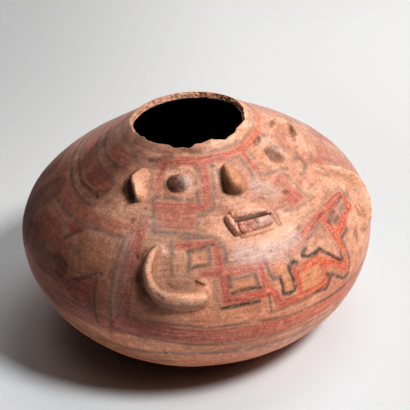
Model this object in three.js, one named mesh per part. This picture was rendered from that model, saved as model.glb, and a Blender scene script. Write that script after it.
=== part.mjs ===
// Globular clay vessel with a face and arms laid on its wall, and the stub of a broken neck.
// Millimetres, +Z up. The origin is the middle of the foot, and the face looks along -Y.
// Azimuth is the angle round the axis from -Y, in degrees, positive towards +X.
// Drop is the distance down the outside of the wall from the neck's seat.
// Left and right are those of a viewer who looks at the face.
import * as THREE from "three";

// Body wall: its outer line is a bowl up to the belly and a shoulder from there to the neck
const footRadius = 80;
const bellyRadius = 159.6;
const bellyHeight = 89.9;
const neckRadius = 58;
const neckHeight = 192;
const wallThickness = 6.5;
const floorThickness = 8;
const bowlRise = 4;
const bowlReach = 40.5;
const bellyBelow = 45.5;
const bellyAbove = 44.4;
const shoulderSlope = 37.2;
const shoulderReach = 58.2;

// Hand-built unevenness, full at the belly and none at the foot and neck.
// Lobes are [count, size, azimuth of the largest]; the belly rides higher towards one azimuth.
const wallLobes = [
  [1, 0.6, -114],
  [2, 0.4, -137],
  [3, 1.7, -11],
];
const bellyTilt = 3.8;
const highAzimuth = -162;

// Neck stub and its broken top, as [azimuth, how far the break reaches down]
const neckLength = 12.4;
const neckSlope = 37;
const neckThickness = 5.8;
const brokenEdge = [
  [-170, 7.2],
  [-145, 6.6],
  [-130, 7.2],
  [-118, 5],
  [-100, 3.4],
  [-80, 2.2],
  [-64, 3.4],
  [-50, 2],
  [-38, 4.2],
  [-28, 4.8],
  [-18, 1.4],
  [-8, 0],
  [2, 1.8],
  [11, 4.4],
  [22, 3.2],
  [34, 1.6],
  [48, 2.2],
  [62, 0.8],
  [80, 1.4],
  [100, 3.2],
  [122, 6],
  [155, 7],
];

// Room between a piece of clay and what it is laid on or beside
const clearance = 0.3;

// Eyes, as [azimuth, drop]
const leftEye = [-35.8, 24.2];
const rightEye = [36.8, 25.8];
const eyeRadius = 7.8;
const eyeHeight = 6.2;

// Strips of clay laid on the wall: stations of [azimuth, drop, width, height]
const nose = [
  [-0.6, 14.2, 7, 3.5],
  [-0.9, 22.2, 12.5, 8],
  [-1.2, 31, 17.5, 12],
  [-1.4, 38, 19, 14],
  [-1.5, 44, 17, 12.5],
];
const leftEar = [
  [-56, 16.5, 6.5, 5],
  [-58.6, 22, 8.5, 9.5],
  [-59, 29.5, 9.5, 11.5],
  [-57.2, 37.5, 9, 11],
  [-54, 44.5, 7, 7],
];
const rightEar = [
  [65.5, 18.5, 6, 4],
  [70, 20.5, 7, 7],
  [74, 25.5, 7.5, 8.5],
  [75.5, 32, 8, 9],
  [74, 38.5, 7.5, 8],
  [70.5, 43, 6.5, 5],
];
const leftArm = [
  [-41, 77.4, 8, 4],
  [-43, 87.6, 10.5, 7.5],
  [-43.6, 99, 12, 9.5],
  [-42.2, 109.4, 13, 10.5],
  [-38.4, 117.8, 13.5, 10.5],
  [-33, 121.8, 13.5, 10],
  [-28, 121.8, 14, 9.5],
  [-22.6, 119.8, 15.5, 9.5],
];
const rightArm = [
  [43.5, 65, 8, 4],
  [48.5, 73.5, 10.5, 7],
  [53, 85, 12, 9],
  [56, 97.5, 13, 10],
  [56.4, 108.5, 13.5, 10.5],
  [54, 118.5, 13.5, 10],
  [49.5, 126, 14, 9],
  [43.8, 129.5, 15.5, 8],
];
const noseTopRound = 5;
const noseTipRound = 8;
const earTopRound = 4;
const earLobeRound = 5;
const earLean = 3;
const armTopRound = 6;
const fingertipRound = 7;
const handLength = 14;

// Mouth: a quadrilateral opening framed by four strips, with a plate in it.
// Its corners are [across, down] in millimetres from its middle, given as [azimuth, drop].
const mouthMiddle = [-0.9, 68.6];
const mouthTopLeft = [-15.5, -6.2];
const mouthTopRight = [15.5, -2.4];
const mouthLowRight = [16.2, 9.6];
const mouthLowLeft = [-14.6, 7.4];
const slitHeight = 1.7;
const plateHeight = 2.6;
const upperLipWidth = 6;
const upperLipHeight = 4.2;
const lowerLipWidth = 3.6;
const lowerLipHeight = 2.6;
const leftCornerWidth = 6.4;
const leftCornerHeight = 6;
const rightCornerWidth = 4.6;
const rightCornerHeight = 3.2;
const lipEndRound = 1.5;
const cornerEndRound = 2.8;
const cornerTopRun = 4;
const leftCornerLowRun = 1.5;
const rightCornerLowRun = 3;

// How flat the backs of the strips are: 2 is an ellipse, and more is flatter
const roundBack = 2;
const fullBack = 2.3;
const flatBack = 6;

// How finely the surfaces are divided
const roundSteps = 72;
const outerSteps = 26;
const innerSteps = 16;
const stripStep = 3.2;
const crownSteps = 8;
const pelletSteps = 24;
const measureSteps = 24;
const endBends = [0.06, 0.29, 0.66];

// Surfaces
const burnishedClay = 0xb2765a;
const brownClay = 0xa8704c;
const armClay = 0xc58c66;
const paleClay = 0xcc9974;
const brokenClay = 0xc48b68;
const redClay = 0xb5765f;
const greyClay = 0x6f5b50;
const burnishedRoughness = 0.5;
const dullRoughness = 0.65;
const brokenRoughness = 0.85;

const degree = Math.PI / 180;
const V2 = THREE.Vector2;
const V3 = THREE.Vector3;

// The wall's outer line, radius against height, from the foot's edge to the neck's seat
function makeWallLine() {
  const bowl = new THREE.CubicBezierCurve(
    new V2(footRadius, 0),
    new V2(footRadius + bowlReach * Math.cos(bowlRise * degree), bowlReach * Math.sin(bowlRise * degree)),
    new V2(bellyRadius, bellyHeight - bellyBelow),
    new V2(bellyRadius, bellyHeight),
  );
  const shoulder = new THREE.CubicBezierCurve(
    new V2(bellyRadius, bellyHeight),
    new V2(bellyRadius, bellyHeight + bellyAbove),
    new V2(
      neckRadius + shoulderReach * Math.cos(shoulderSlope * degree),
      neckHeight - shoulderReach * Math.sin(shoulderSlope * degree),
    ),
    new V2(neckRadius, neckHeight),
  );
  const line = new THREE.CurvePath();
  line.add(bowl);
  line.add(shoulder);
  return line;
}

const wallLine = makeWallLine();
const wallLength = wallLine.getLength();

// Radius, height and outward direction of the wall's section, a drop below the neck's seat
function wallAt(drop) {
  const along = 1 - drop / wallLength;
  const point = wallLine.getPoint(along);
  const tangent = wallLine.getTangent(along);
  return { point, outward: new V2(tangent.y, -tangent.x) };
}

function lobes(azimuth) {
  return wallLobes.reduce(
    (sum, [count, size, largest]) => sum + size * Math.cos(count * (azimuth - largest) * degree),
    0,
  );
}

// A point at an azimuth, from a section's radius and height, moved by the wall's unevenness
function turn(azimuth, radius, height) {
  const level = Math.min(1, Math.max(0, height / neckHeight));
  const fullness = 4 * level * (1 - level);
  const uneven = radius * (1 + (lobes(azimuth) * fullness) / bellyRadius);
  const lift = (bellyTilt * fullness * Math.cos((azimuth - highAzimuth) * degree) * radius) / bellyRadius;
  return new V3(uneven * Math.sin(azimuth * degree), -uneven * Math.cos(azimuth * degree), height + lift);
}

// A point on the wall, or a height above it
function onWall(azimuth, drop, above = 0) {
  const { point, outward } = wallAt(drop);
  return turn(azimuth, point.x + outward.x * above, point.y + outward.y * above);
}

// A point on the wall that lies millimetres across and down from a place on it
function beside([azimuth, drop], across, down, above = 0) {
  const turned = across / (wallAt(drop).point.x * degree);
  return onWall(azimuth + turned, drop + down, above);
}

// A closed mesh from rings of equally many points; open ends are closed by fans
function loft(rings, closed = false) {
  const around = rings[0].length;
  const points = rings.flat();
  const faces = [];
  const spans = closed ? rings.length : rings.length - 1;
  for (let i = 0; i < spans; i++) {
    const near = i * around;
    const far = ((i + 1) % rings.length) * around;
    for (let j = 0; j < around; j++) {
      const next = (j + 1) % around;
      faces.push(near + j, near + next, far + j);
      faces.push(near + next, far + next, far + j);
    }
  }
  if (!closed) {
    const last = (rings.length - 1) * around;
    const firstMiddle = points.push(middleOf(rings[0])) - 1;
    const lastMiddle = points.push(middleOf(rings[rings.length - 1])) - 1;
    for (let j = 0; j < around; j++) {
      const next = (j + 1) % around;
      faces.push(firstMiddle, next, j);
      faces.push(lastMiddle, last + j, last + next);
    }
  }
  return new THREE.BufferGeometry().setFromPoints(points).setIndex(faces);
}

function middleOf(ring) {
  return ring.reduce((sum, point) => sum.add(point), new V3()).divideScalar(ring.length);
}

// Azimuths all the way round
const rounds = Array.from({ length: roundSteps }, (_, i) => (i * 360) / roundSteps);

// The whole wall with its floor, foot and mouth, turned from one section
function bodyGeometry() {
  const section = [];
  for (let i = 0; i <= outerSteps; i++) {
    section.push(wallAt(wallLength * (1 - i / outerSteps)).point);
  }
  for (let i = 0; i < innerSteps; i++) {
    const { point, outward } = wallAt((wallLength * i) / innerSteps);
    const inner = point.clone().addScaledVector(outward, -wallThickness);
    if (inner.y > floorThickness) section.push(inner);
  }
  const rings = section.map((p) => rounds.map((azimuth) => turn(azimuth, p.x, p.y)));
  const geometry = loft(rings);
  const floorMiddle = geometry.attributes.position.count - 1;
  geometry.attributes.position.setXYZ(floorMiddle, 0, 0, floorThickness);
  return geometry;
}

// How far the break reaches down at an azimuth, eased from one listed place to the next
function breakAt(azimuth) {
  const turned = brokenEdge.map(([place, reach]) => [(((place - azimuth) % 360) + 360) % 360, reach]);
  turned.sort((one, other) => one[0] - other[0]);
  const [after, afterReach] = turned[0];
  const [place, beforeReach] = turned[turned.length - 1];
  const before = 360 - place;
  const share = before / (before + after);
  const eased = share * share * (3 - 2 * share);
  return beforeReach + (afterReach - beforeReach) * eased;
}

// The stub that is left of the neck, a ring that stands on the end of the wall
function neckGeometry() {
  const { point, outward } = wallAt(0);
  const onSeat = new V2(-outward.y, outward.x).multiplyScalar(clearance).add(point);
  const up = new V2(-Math.cos(neckSlope * degree), Math.sin(neckSlope * degree));
  const rings = rounds.map((azimuth) => {
    const length = neckLength - breakAt(azimuth);
    const corner = (rise, depth) => {
      const p = onSeat.clone().addScaledVector(outward, -depth).addScaledVector(up, rise);
      return turn(azimuth, p.x, p.y);
    };
    return [
      corner(0, 0),
      corner(0, neckThickness / 2),
      corner(0, neckThickness),
      corner(length / 2, neckThickness),
      corner(length, neckThickness),
      corner(length, neckThickness / 2),
      corner(length, 0),
      corner(length / 2, 0),
    ];
  });
  return loft(rings, true);
}

// Lengths along stations, from their first: how long they are, and where a length falls
function measure(stations) {
  const path = new THREE.SplineCurve(stations.map(([azimuth, drop]) => new V2(azimuth, drop)));
  const size = new THREE.SplineCurve(stations.map(([, , width, height]) => new V2(width, height)));
  const parts = stations.length * measureSteps;
  const lengths = [0];
  let from = onWall(...path.getPoint(0));
  for (let i = 1; i <= parts; i++) {
    const to = onWall(...path.getPoint(i / parts));
    lengths.push(lengths[i - 1] + to.distanceTo(from));
    from = to;
  }
  const total = lengths[parts];
  const shareAt = (length) => {
    const i = Math.min(parts - 1, Math.max(0, lengths.findIndex((value) => value > length) - 1));
    const within = length >= total ? parts : i + (length - lengths[i]) / (lengths[i + 1] - lengths[i]);
    return Math.min(1, Math.max(0, within / parts));
  };
  return { path, size, total, shareAt };
}

// Distances along a strip at which its rings stand; rounded ends get closer rings
function ringPlaces(start, end, startRound, endRound) {
  const places = [];
  if (startRound > 0) endBends.forEach((share) => places.push(start + startRound * share));
  else places.push(start);
  const first = start + startRound;
  const last = end - endRound;
  const parts = Math.max(1, Math.round((last - first) / stripStep));
  for (let i = startRound > 0 ? 0 : 1; i <= (endRound > 0 ? parts : parts - 1); i++) {
    places.push(first + ((last - first) * i) / parts);
  }
  if (endRound > 0) endBends.toReversed().forEach((share) => places.push(end - endRound * share));
  else places.push(end);
  return places;
}

// A strip of clay laid along stations, between two distances from the first of them.
// Its ends are rounded over a length, and it can lean sideways at its back.
function strip(stations, { start = 0, end, startRound = 0, endRound = 0, back = roundBack, lean = 0 }) {
  const { path, size, total, shareAt } = measure(stations);
  const stop = end ?? total;
  const rings = ringPlaces(start, stop, startRound, endRound).map((place) => {
    const share = shareAt(place);
    const [azimuth, drop] = path.getPoint(share);
    const [width, height] = size.getPoint(share);
    const run = path.getTangent(share);
    const along = new V2(run.x * wallAt(drop).point.x * degree, run.y).normalize();
    const fromStart = startRound > 0 ? Math.min(1, (place - start) / startRound) : 1;
    const fromEnd = endRound > 0 ? Math.min(1, (stop - place) / endRound) : 1;
    const full = Math.sqrt((1 - (1 - fromStart) ** 2) * (1 - (1 - fromEnd) ** 2));
    const pointAt = (across, rise) => {
      const aside = (across * width * full) / 2 + lean * full * rise;
      const above = clearance + height * full * rise;
      return beside([azimuth, drop], -along.y * aside, along.x * aside, above);
    };
    const ring = [];
    for (let j = 0; j <= crownSteps; j++) {
      const across = -Math.cos((Math.PI * j) / crownSteps);
      const rise = j % crownSteps === 0 ? 0 : Math.sqrt(1 - Math.abs(across) ** back);
      ring.push(pointAt(across, rise));
    }
    [0.5, 0, -0.5].forEach((across) => ring.push(pointAt(across, 0)));
    return ring;
  });
  return loft(rings);
}

// A domed pellet of clay pressed on the wall
function pellet(place, radius, height) {
  const circle = (reach, above) =>
    Array.from({ length: pelletSteps }, (_, i) => {
      const angle = (-2 * Math.PI * i) / pelletSteps;
      return beside(place, reach * Math.cos(angle), reach * Math.sin(angle), above);
    });
  const rings = [circle(radius / 2, clearance)];
  for (let i = 0; i < crownSteps; i++) {
    const bend = (90 * i) / crownSteps;
    rings.push(circle(radius * Math.cos(bend * degree), clearance + height * Math.sin(bend * degree)));
  }
  return loft(rings);
}

function ear(stations, lean) {
  return strip(stations, { startRound: earTopRound, endRound: earLobeRound, lean });
}

// An arm ends where its hand starts, with the clearance between them
function arm(stations) {
  return strip(stations, { end: measure(stations).total - handLength - clearance, startRound: armTopRound });
}

function hand(stations) {
  return strip(stations, { start: measure(stations).total - handLength, endRound: fingertipRound });
}

function directionOf(from, to) {
  return new V2(...to).sub(new V2(...from)).normalize();
}

function mouthStation(point, width, height) {
  const turned = point.x / (wallAt(mouthMiddle[1]).point.x * degree);
  return [mouthMiddle[0] + turned, mouthMiddle[1] + point.y, width, height];
}

// A straight strip beside one side of the mouth's opening, and outward of it.
// It runs past the side's ends by the given lengths.
function mouthSide([from, to], [before, after], [width, height], endRound) {
  const side = directionOf(from, to);
  const away = new V2(side.y, -side.x).multiplyScalar(width / 2);
  const stations = [
    new V2(...from).add(away).addScaledVector(side, -before),
    new V2(...to).add(away).addScaledVector(side, after),
  ].map((point) => mouthStation(point, width, height));
  return strip(stations, { startRound: endRound, endRound, back: fullBack });
}

// A lip stops where it clears the corner strips, which run past its ends
function mouthLip([from, to], [acrossFrom, acrossTo], [width, height]) {
  const side = directionOf(from, to);
  const away = new V2(side.y, -side.x);
  const roomBeside = (neighbour, along) => {
    const slant = neighbour.dot(along) / neighbour.dot(away);
    return clearance + Math.max(0, -width * slant);
  };
  const before = roomBeside(directionOf(acrossFrom, from), side.clone().negate());
  const after = roomBeside(directionOf(acrossTo, to), side);
  return mouthSide([from, to], [-before, -after], [width, height], lipEndRound);
}

// The plate fills the opening below the slit
function mouthPlate() {
  const stationAt = (top, low, inset) => {
    const upper = top[1] + slitHeight;
    const lower = low[1] - clearance;
    return mouthStation(new V2(inset, (upper + lower) / 2), lower - upper, plateHeight);
  };
  const leftEnd = Math.max(mouthTopLeft[0], mouthLowLeft[0]) + clearance;
  const rightEnd = Math.min(mouthTopRight[0], mouthLowRight[0]) - clearance;
  const stations = [
    stationAt(mouthTopLeft, mouthLowLeft, leftEnd),
    stationAt(mouthTopRight, mouthLowRight, rightEnd),
  ];
  return strip(stations, { back: flatBack });
}

const upperLip = mouthLip(
  [mouthTopLeft, mouthTopRight],
  [mouthLowLeft, mouthLowRight],
  [upperLipWidth, upperLipHeight],
);
const rightCorner = mouthSide(
  [mouthTopRight, mouthLowRight],
  [cornerTopRun, rightCornerLowRun],
  [rightCornerWidth, rightCornerHeight],
  cornerEndRound,
);
const lowerLip = mouthLip(
  [mouthLowRight, mouthLowLeft],
  [mouthTopRight, mouthTopLeft],
  [lowerLipWidth, lowerLipHeight],
);
const leftCorner = mouthSide(
  [mouthLowLeft, mouthTopLeft],
  [leftCornerLowRun, cornerTopRun],
  [leftCornerWidth, leftCornerHeight],
  cornerEndRound,
);
const noseShape = { startRound: noseTopRound, endRound: noseTipRound, back: fullBack };

const object = new THREE.Group();
object.name = "anthropomorphic_vessel";

function add(name, geometry, color, roughness) {
  const material = new THREE.MeshStandardMaterial({ color, roughness, metalness: 0 });
  const mesh = new THREE.Mesh(geometry, material);
  mesh.name = name;
  object.add(mesh);
}

add("vessel_body", bodyGeometry(), burnishedClay, burnishedRoughness);
add("neck_stub", neckGeometry(), brokenClay, brokenRoughness);
add("nose", strip(nose, noseShape), brownClay, burnishedRoughness);
add("left_eye", pellet(leftEye, eyeRadius, eyeHeight), greyClay, dullRoughness);
add("right_eye", pellet(rightEye, eyeRadius, eyeHeight), greyClay, dullRoughness);
add("left_ear", ear(leftEar, earLean), paleClay, dullRoughness);
add("right_ear", ear(rightEar, -earLean), paleClay, dullRoughness);
add("mouth_upper_lip", upperLip, paleClay, dullRoughness);
add("mouth_right_corner", rightCorner, paleClay, dullRoughness);
add("mouth_lower_lip", lowerLip, paleClay, dullRoughness);
add("mouth_left_corner", leftCorner, paleClay, dullRoughness);
add("mouth_plate", mouthPlate(), redClay, dullRoughness);
add("left_arm", arm(leftArm), armClay, burnishedRoughness);
add("left_hand", hand(leftArm), armClay, burnishedRoughness);
add("right_arm", arm(rightArm), paleClay, dullRoughness);
add("right_hand", hand(rightArm), paleClay, dullRoughness);

export default object;
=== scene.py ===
"""Dressed model of a globular clay vessel with a face and arms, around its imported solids."""

import math

import bpy
import numpy as np
from mathutils import Matrix, Vector, noise


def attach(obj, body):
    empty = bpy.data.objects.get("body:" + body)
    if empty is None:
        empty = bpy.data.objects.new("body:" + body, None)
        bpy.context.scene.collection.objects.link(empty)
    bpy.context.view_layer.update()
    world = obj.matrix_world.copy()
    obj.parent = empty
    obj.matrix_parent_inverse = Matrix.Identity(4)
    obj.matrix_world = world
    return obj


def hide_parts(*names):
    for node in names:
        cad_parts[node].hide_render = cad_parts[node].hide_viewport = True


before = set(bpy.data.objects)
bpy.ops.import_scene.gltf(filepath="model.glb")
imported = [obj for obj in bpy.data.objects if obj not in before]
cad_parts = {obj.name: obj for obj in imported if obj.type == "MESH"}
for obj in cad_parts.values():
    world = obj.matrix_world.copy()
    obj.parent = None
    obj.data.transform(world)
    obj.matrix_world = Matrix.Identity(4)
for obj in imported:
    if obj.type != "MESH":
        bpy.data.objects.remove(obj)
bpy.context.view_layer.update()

MM = 0.001
DEGREE = math.pi / 180

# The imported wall's sizes, in millimetres and degrees.
# A place on the wall is (azimuth, drop): degrees round the axis from -Y, positive towards +X,
# and millimetres down the outside of the wall from the neck's seat, less than 0 on the neck.
# Left and right are those of a viewer who looks at the face.
FOOT_RADIUS = 80
BELLY_RADIUS = 159.6
BELLY_HEIGHT = 89.9
NECK_RADIUS = 58
NECK_HEIGHT = 192
WALL_THICKNESS = 6.5
FLOOR_THICKNESS = 8
BOWL_RISE = 4
BOWL_REACH = 40.5
BELLY_BELOW = 45.5
BELLY_ABOVE = 44.4
SHOULDER_SLOPE = 37.2
SHOULDER_REACH = 58.2
WALL_LOBES = [(1, 0.6, -114), (2, 0.4, -137), (3, 1.7, -11)]  # how many, size, azimuth of the widest
BELLY_TILT = 3.8
HIGH_AZIMUTH = -162
NECK_LENGTH = 12.4
NECK_THICKNESS = 5.8
# The break round the neck: azimuths, and how far it reaches down there
BROKEN_EDGE = [
    (-170, 7.2), (-145, 6.6), (-130, 7.2), (-118, 5), (-100, 3.4), (-80, 2.2), (-64, 3.4), (-50, 2),
    (-38, 4.2), (-28, 4.8), (-18, 1.4), (-8, 0), (2, 1.8), (11, 4.4), (22, 3.2), (34, 1.6),
    (48, 2.2), (62, 0.8), (80, 1.4), (100, 3.2), (122, 6), (155, 7),
]
CURVE_STEPS = 800


def along_slope(length):
    """How far a length up the shoulder's slope reaches across and up."""
    return length * math.cos(SHOULDER_SLOPE * DEGREE), length * math.sin(SHOULDER_SLOPE * DEGREE)


def bezier(points):
    """Places along a cubic curve, as rows of (radius, height)."""
    t = np.linspace(0, 1, CURVE_STEPS)[:, None]
    a, b, c, d = (np.array(p, float) for p in points)
    return (1 - t) ** 3 * a + 3 * (1 - t) ** 2 * t * b + 3 * (1 - t) * t**2 * c + t**3 * d


def wall_line():
    """The wall's outer line from the foot's edge to the neck's seat: run, radius and height."""
    rise = BOWL_RISE * DEGREE
    out, up = along_slope(SHOULDER_REACH)
    bowl = bezier([
        (FOOT_RADIUS, 0),
        (FOOT_RADIUS + BOWL_REACH * math.cos(rise), BOWL_REACH * math.sin(rise)),
        (BELLY_RADIUS, BELLY_HEIGHT - BELLY_BELOW),
        (BELLY_RADIUS, BELLY_HEIGHT),
    ])
    shoulder = bezier([
        (BELLY_RADIUS, BELLY_HEIGHT),
        (BELLY_RADIUS, BELLY_HEIGHT + BELLY_ABOVE),
        (NECK_RADIUS + out, NECK_HEIGHT - up),
        (NECK_RADIUS, NECK_HEIGHT),
    ])
    line = np.vstack([bowl, shoulder[1:]])
    run = np.r_[0, np.cumsum(np.hypot(*np.diff(line, axis=0).T))]
    return run, line[:, 0], line[:, 1]


RUN, RADII, HEIGHTS = wall_line()
WALL_LENGTH = RUN[-1]


def radius_at(drop):
    return np.interp(WALL_LENGTH - np.asarray(drop, float), RUN, RADII)


def degree_at(drop):
    """Millimetres round the wall for each degree of azimuth."""
    return DEGREE * radius_at(drop)


def section(drop, above=0.0):
    """Radius and height of the wall's section at a drop, raised above the wall."""
    drop = np.asarray(drop, float)
    run = WALL_LENGTH - drop
    near = np.clip(run, 1, WALL_LENGTH - 1)
    along_r = np.interp(near + 0.5, RUN, RADII) - np.interp(near - 0.5, RUN, RADII)
    along_z = np.interp(near + 0.5, RUN, HEIGHTS) - np.interp(near - 0.5, RUN, HEIGHTS)
    length = np.hypot(along_r, along_z)
    inward, up = along_slope(np.clip(-drop, 0, None))
    radius = np.interp(run, RUN, RADII) - inward + above * along_z / length
    height = np.interp(run, RUN, HEIGHTS) + up - above * along_r / length
    return radius, height


def turn(azimuth, radius, height):
    """Points at azimuths, from the section's radius and height, moved by the wall's unevenness."""
    azimuth, radius, height = np.broadcast_arrays(azimuth, radius, height)
    level = np.clip(height / NECK_HEIGHT, 0, 1)
    fullness = 4 * level * (1 - level)
    lobes = sum(size * np.cos(count * (azimuth - widest) * DEGREE) for count, size, widest in WALL_LOBES)
    uneven = radius * (1 + lobes * fullness / BELLY_RADIUS)
    lift = BELLY_TILT * fullness * np.cos((azimuth - HIGH_AZIMUTH) * DEGREE) * radius / BELLY_RADIUS
    across, out = np.sin(azimuth * DEGREE), -np.cos(azimuth * DEGREE)
    return np.stack([uneven * across, uneven * out, height + lift], -1)


def apart(azimuth, other):
    """Degrees from one azimuth to another, the short way round."""
    return (azimuth - other + 180) % 360 - 180


def rough(points, size, seed=0.0):
    """Smooth noise from -1 to 1 at points, with bumps about a size across."""
    places = (np.asarray(points) / size + seed).reshape(-1, 3)
    values = np.fromiter((noise.noise(p) for p in places.tolist()), float, len(places))
    return values.reshape(np.shape(points)[:-1])


# Small marks pressed in the wall: place, radius of the ring, its width and its height
MARKS = [
    ((-47.6, 92.6), 2.4, 1.1, -1), ((-33.2, 24), 13.4, 1.8, 0.8), ((37.2, 28.4), 13.6, 2, 0.7),
    ((44, 51.5), 4.6, 1.6, -0.7), ((-38.8, 187), 3.4, 1.2, -0.6), ((-77, 125), 2, 2.6, -0.5),
    ((-24.2, 147.4), 0, 1.9, -0.7), ((-54.8, 62.5), 0, 1.2, -0.6), ((21.5, 58.5), 0, 1.3, -0.5),
    ((70.5, 18.6), 0, 3.2, -1.4), ((70, 37.4), 0, 3, -1.2),
]
EVEN_FOOT = 14  # the wall evens out over this much of its length above the foot's edge


def relief(azimuth, drop):
    """How far the hand-built wall stands above its even line, in millimetres."""
    points = turn(azimuth, *section(drop))
    flat = points * (1, 1, 3.5)
    value = 0.42 * rough(points, 36) + 0.16 * rough(flat, 17, 3.1) + 0.06 * rough(points, 6, 7.7)
    for (at_azimuth, at_drop), reach, width, height in MARKS:
        away = np.hypot(apart(azimuth, at_azimuth) * degree_at(drop), drop - at_drop)
        value = value + height * np.exp(-(((away - reach) / width) ** 2))
    return value * np.clip((WALL_LENGTH - drop) / EVEN_FOOT, 0, 1)


def on_wall(azimuth, drop, above):
    """Points on the hand-built wall, raised above it."""
    return turn(azimuth, *section(drop, above + relief(azimuth, drop)))


def follow(azimuth, drop, line):
    """For places on the wall, against a line of places: how far away it is, how far to its side
    (positive to the right of its run on the wall), the run along it and the share of its parts."""
    per_degree = degree_at(drop)
    away = np.full(np.shape(azimuth), 1e3)
    side, run, share = np.zeros((3, *away.shape))
    before = 0.0
    for i, ((az1, drop1), (az2, drop2)) in enumerate(zip(line, line[1:])):
        x, y = apart(azimuth, az1) * per_degree, drop - drop1
        step_x, step_y = (az2 - az1) * per_degree, drop2 - drop1
        length = np.hypot(step_x, step_y) + 1e-6
        t = np.clip((x * step_x + y * step_y) / length**2, 0, 1)
        gap = np.hypot(x - t * step_x, y - t * step_y)
        near = gap < away
        away = np.where(near, gap, away)
        side = np.where(near, (step_x * y - step_y * x) / length, side)
        run = np.where(near, before + t * length, run)
        share = np.where(near, i + t, share)
        before += math.hypot((az2 - az1) * degree_at((drop1 + drop2) / 2), drop2 - drop1)
    return away, side, run, share


KINDS = ("red", "orange", "line", "bare", "soot", "haze", "dark", "veil")
STROKES = {kind: [] for kind in KINDS}


def brush(kind):
    """What lays strokes of a kind: width in millimetres, strength, and then the azimuths and drops
    of the places it runs through. A width of 0 fills the outline that the places make."""
    def lay(width, strength, *places):
        STROKES[kind].append((width, strength, np.reshape(places, (-1, 2)).astype(float)))

    return lay


red, orange, ink, bare, soot, haze, dark, veil = map(brush, KINDS)

# the red round the neck, and the thin dark line above it
red(8.5, 0.8, -51, 6, -40, 5, -24, 4.5, -12, 4.5, 0, 5.5)
red(6.5, 0.8, 0, 5.5, 12, 6, 22, 6, 34, 5.5, 44, 4.5, 52, 4)
red(4, 0.5, 20, 2.4, 32, 1.6, 44, 1.6, 52, 2.4)
ink(2.2, 0.5, -24, -2.4, -12, -1.8, 0, -0.8, 12, 0.2, 22, 1, 30, -0.6, 36, -0.4)
ink(1.8, 0.45, 36, -0.4, 46, -0.6, 56, -1.2, 66, 0.2, 78, 0.6, 92, 1.5)
ink(3, 0.75, -50, 0.8, -46, 0.2, -42, 0.6)
ink(1.8, 0.5, -56, 3.4, -50, 2.6, -43, 2.6)
ink(4, 0.7, -59.5, 6.5, -57, 6)
# round the left eye
red(7.5, 0.85, -47.4, 4, -47.2, 14, -47, 23)
red(6, 0.4, -47, 23, -46.6, 31)
ink(2.6, 0.4, -54.2, 5, -54, 15, -52, 26, -50, 37)
ink(3.6, 0.55, -22, 10.5, -22.2, 18, -23.4, 26, -24, 35, -23.4, 44)
red(6.2, 0.85, -17, 7, -17, 15, -18, 25, -18.4, 38, -20, 47)
red(7.4, 0.8, -19.4, 46.5, -33, 46, -44.6, 46)
ink(4.4, 0.6, -11.4, 10.5, -10.4, 12.5)
ink(3.2, 0.55, -11.4, 12, -12.4, 17, -13, 25, -14, 33, -15.5, 42, -16.6, 49)
ink(3.4, 0.5, -16.6, 49, -19, 53, -24, 54.2, -24.6, 60, -25, 68)
ink(3.6, 0.6, -48.4, 38.6, -38, 38.6, -27, 39.6)
ink(3.6, 0.6, -48.4, 38.6, -47.4, 45, -46, 52, -44.6, 60, -44, 66, -43.4, 71)
red(0, 0.48, -45, 49, -26, 49, -26.4, 66, -43, 66)
ink(3.6, 0.65, -43.5, 69.6, -37, 69.3, -32, 70, -25, 71)
ink(4.4, 0.5, -32, 72.6, -26, 73.4, -20, 73.8, -17, 76, -16.2, 82)
# round the nose and the right eye
ink(1.8, 0.4, 0, 11, 8, 11.4, 14, 13)
ink(3.2, 0.5, 11.5, 12.6, 12.2, 20, 12.4, 28, 11, 35, 9, 42)
red(6.2, 0.9, 16.2, 8, 16.4, 17, 16.6, 27)
red(5, 0.55, 16.6, 27, 16, 33)
ink(3, 0.5, 21, 10.4, 21.2, 17, 20.8, 24)
orange(6.5, 0.6, 25.6, 13, 24, 19, 23.4, 26)
ink(4.6, 0.8, 33, 9.4, 37, 9.8, 41, 8.6)
ink(3.4, 0.6, 45.4, 11.6, 49, 11.8)
ink(3.4, 0.5, 52.6, 4.8, 57.6, 5)
ink(3.6, 0.5, 16.4, 33.6, 19.5, 36, 23.4, 37.6, 28, 39.6, 31, 42, 34, 45)
ink(3, 0.35, 31.6, 33, 35.6, 35.4, 40, 35)
red(0, 0.45, 18, 42, 30, 43.5, 33, 52, 20, 52)
red(0, 0.85, 17, 73.4, 18.4, 64, 21, 57, 25.6, 57, 27, 64, 28, 72.4, 24, 74)
ink(3.6, 0.6, 14.5, 71.6, 17.4, 73.6, 20, 75.4, 25, 76.6, 31.6, 76.4)
ink(3.2, 0.35, 30, 46, 29.6, 56, 29, 66, 30.4, 76)
ink(3.4, 0.6, 37.6, 57, 41, 58, 45, 57.4, 48, 53, 48.6, 48.4, 45.4, 45.4)
red(5, 0.5, 33, 61.6, 40, 63)
red(0, 0.3, 50, 10, 56, 9, 59, 28, 52, 30)
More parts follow.
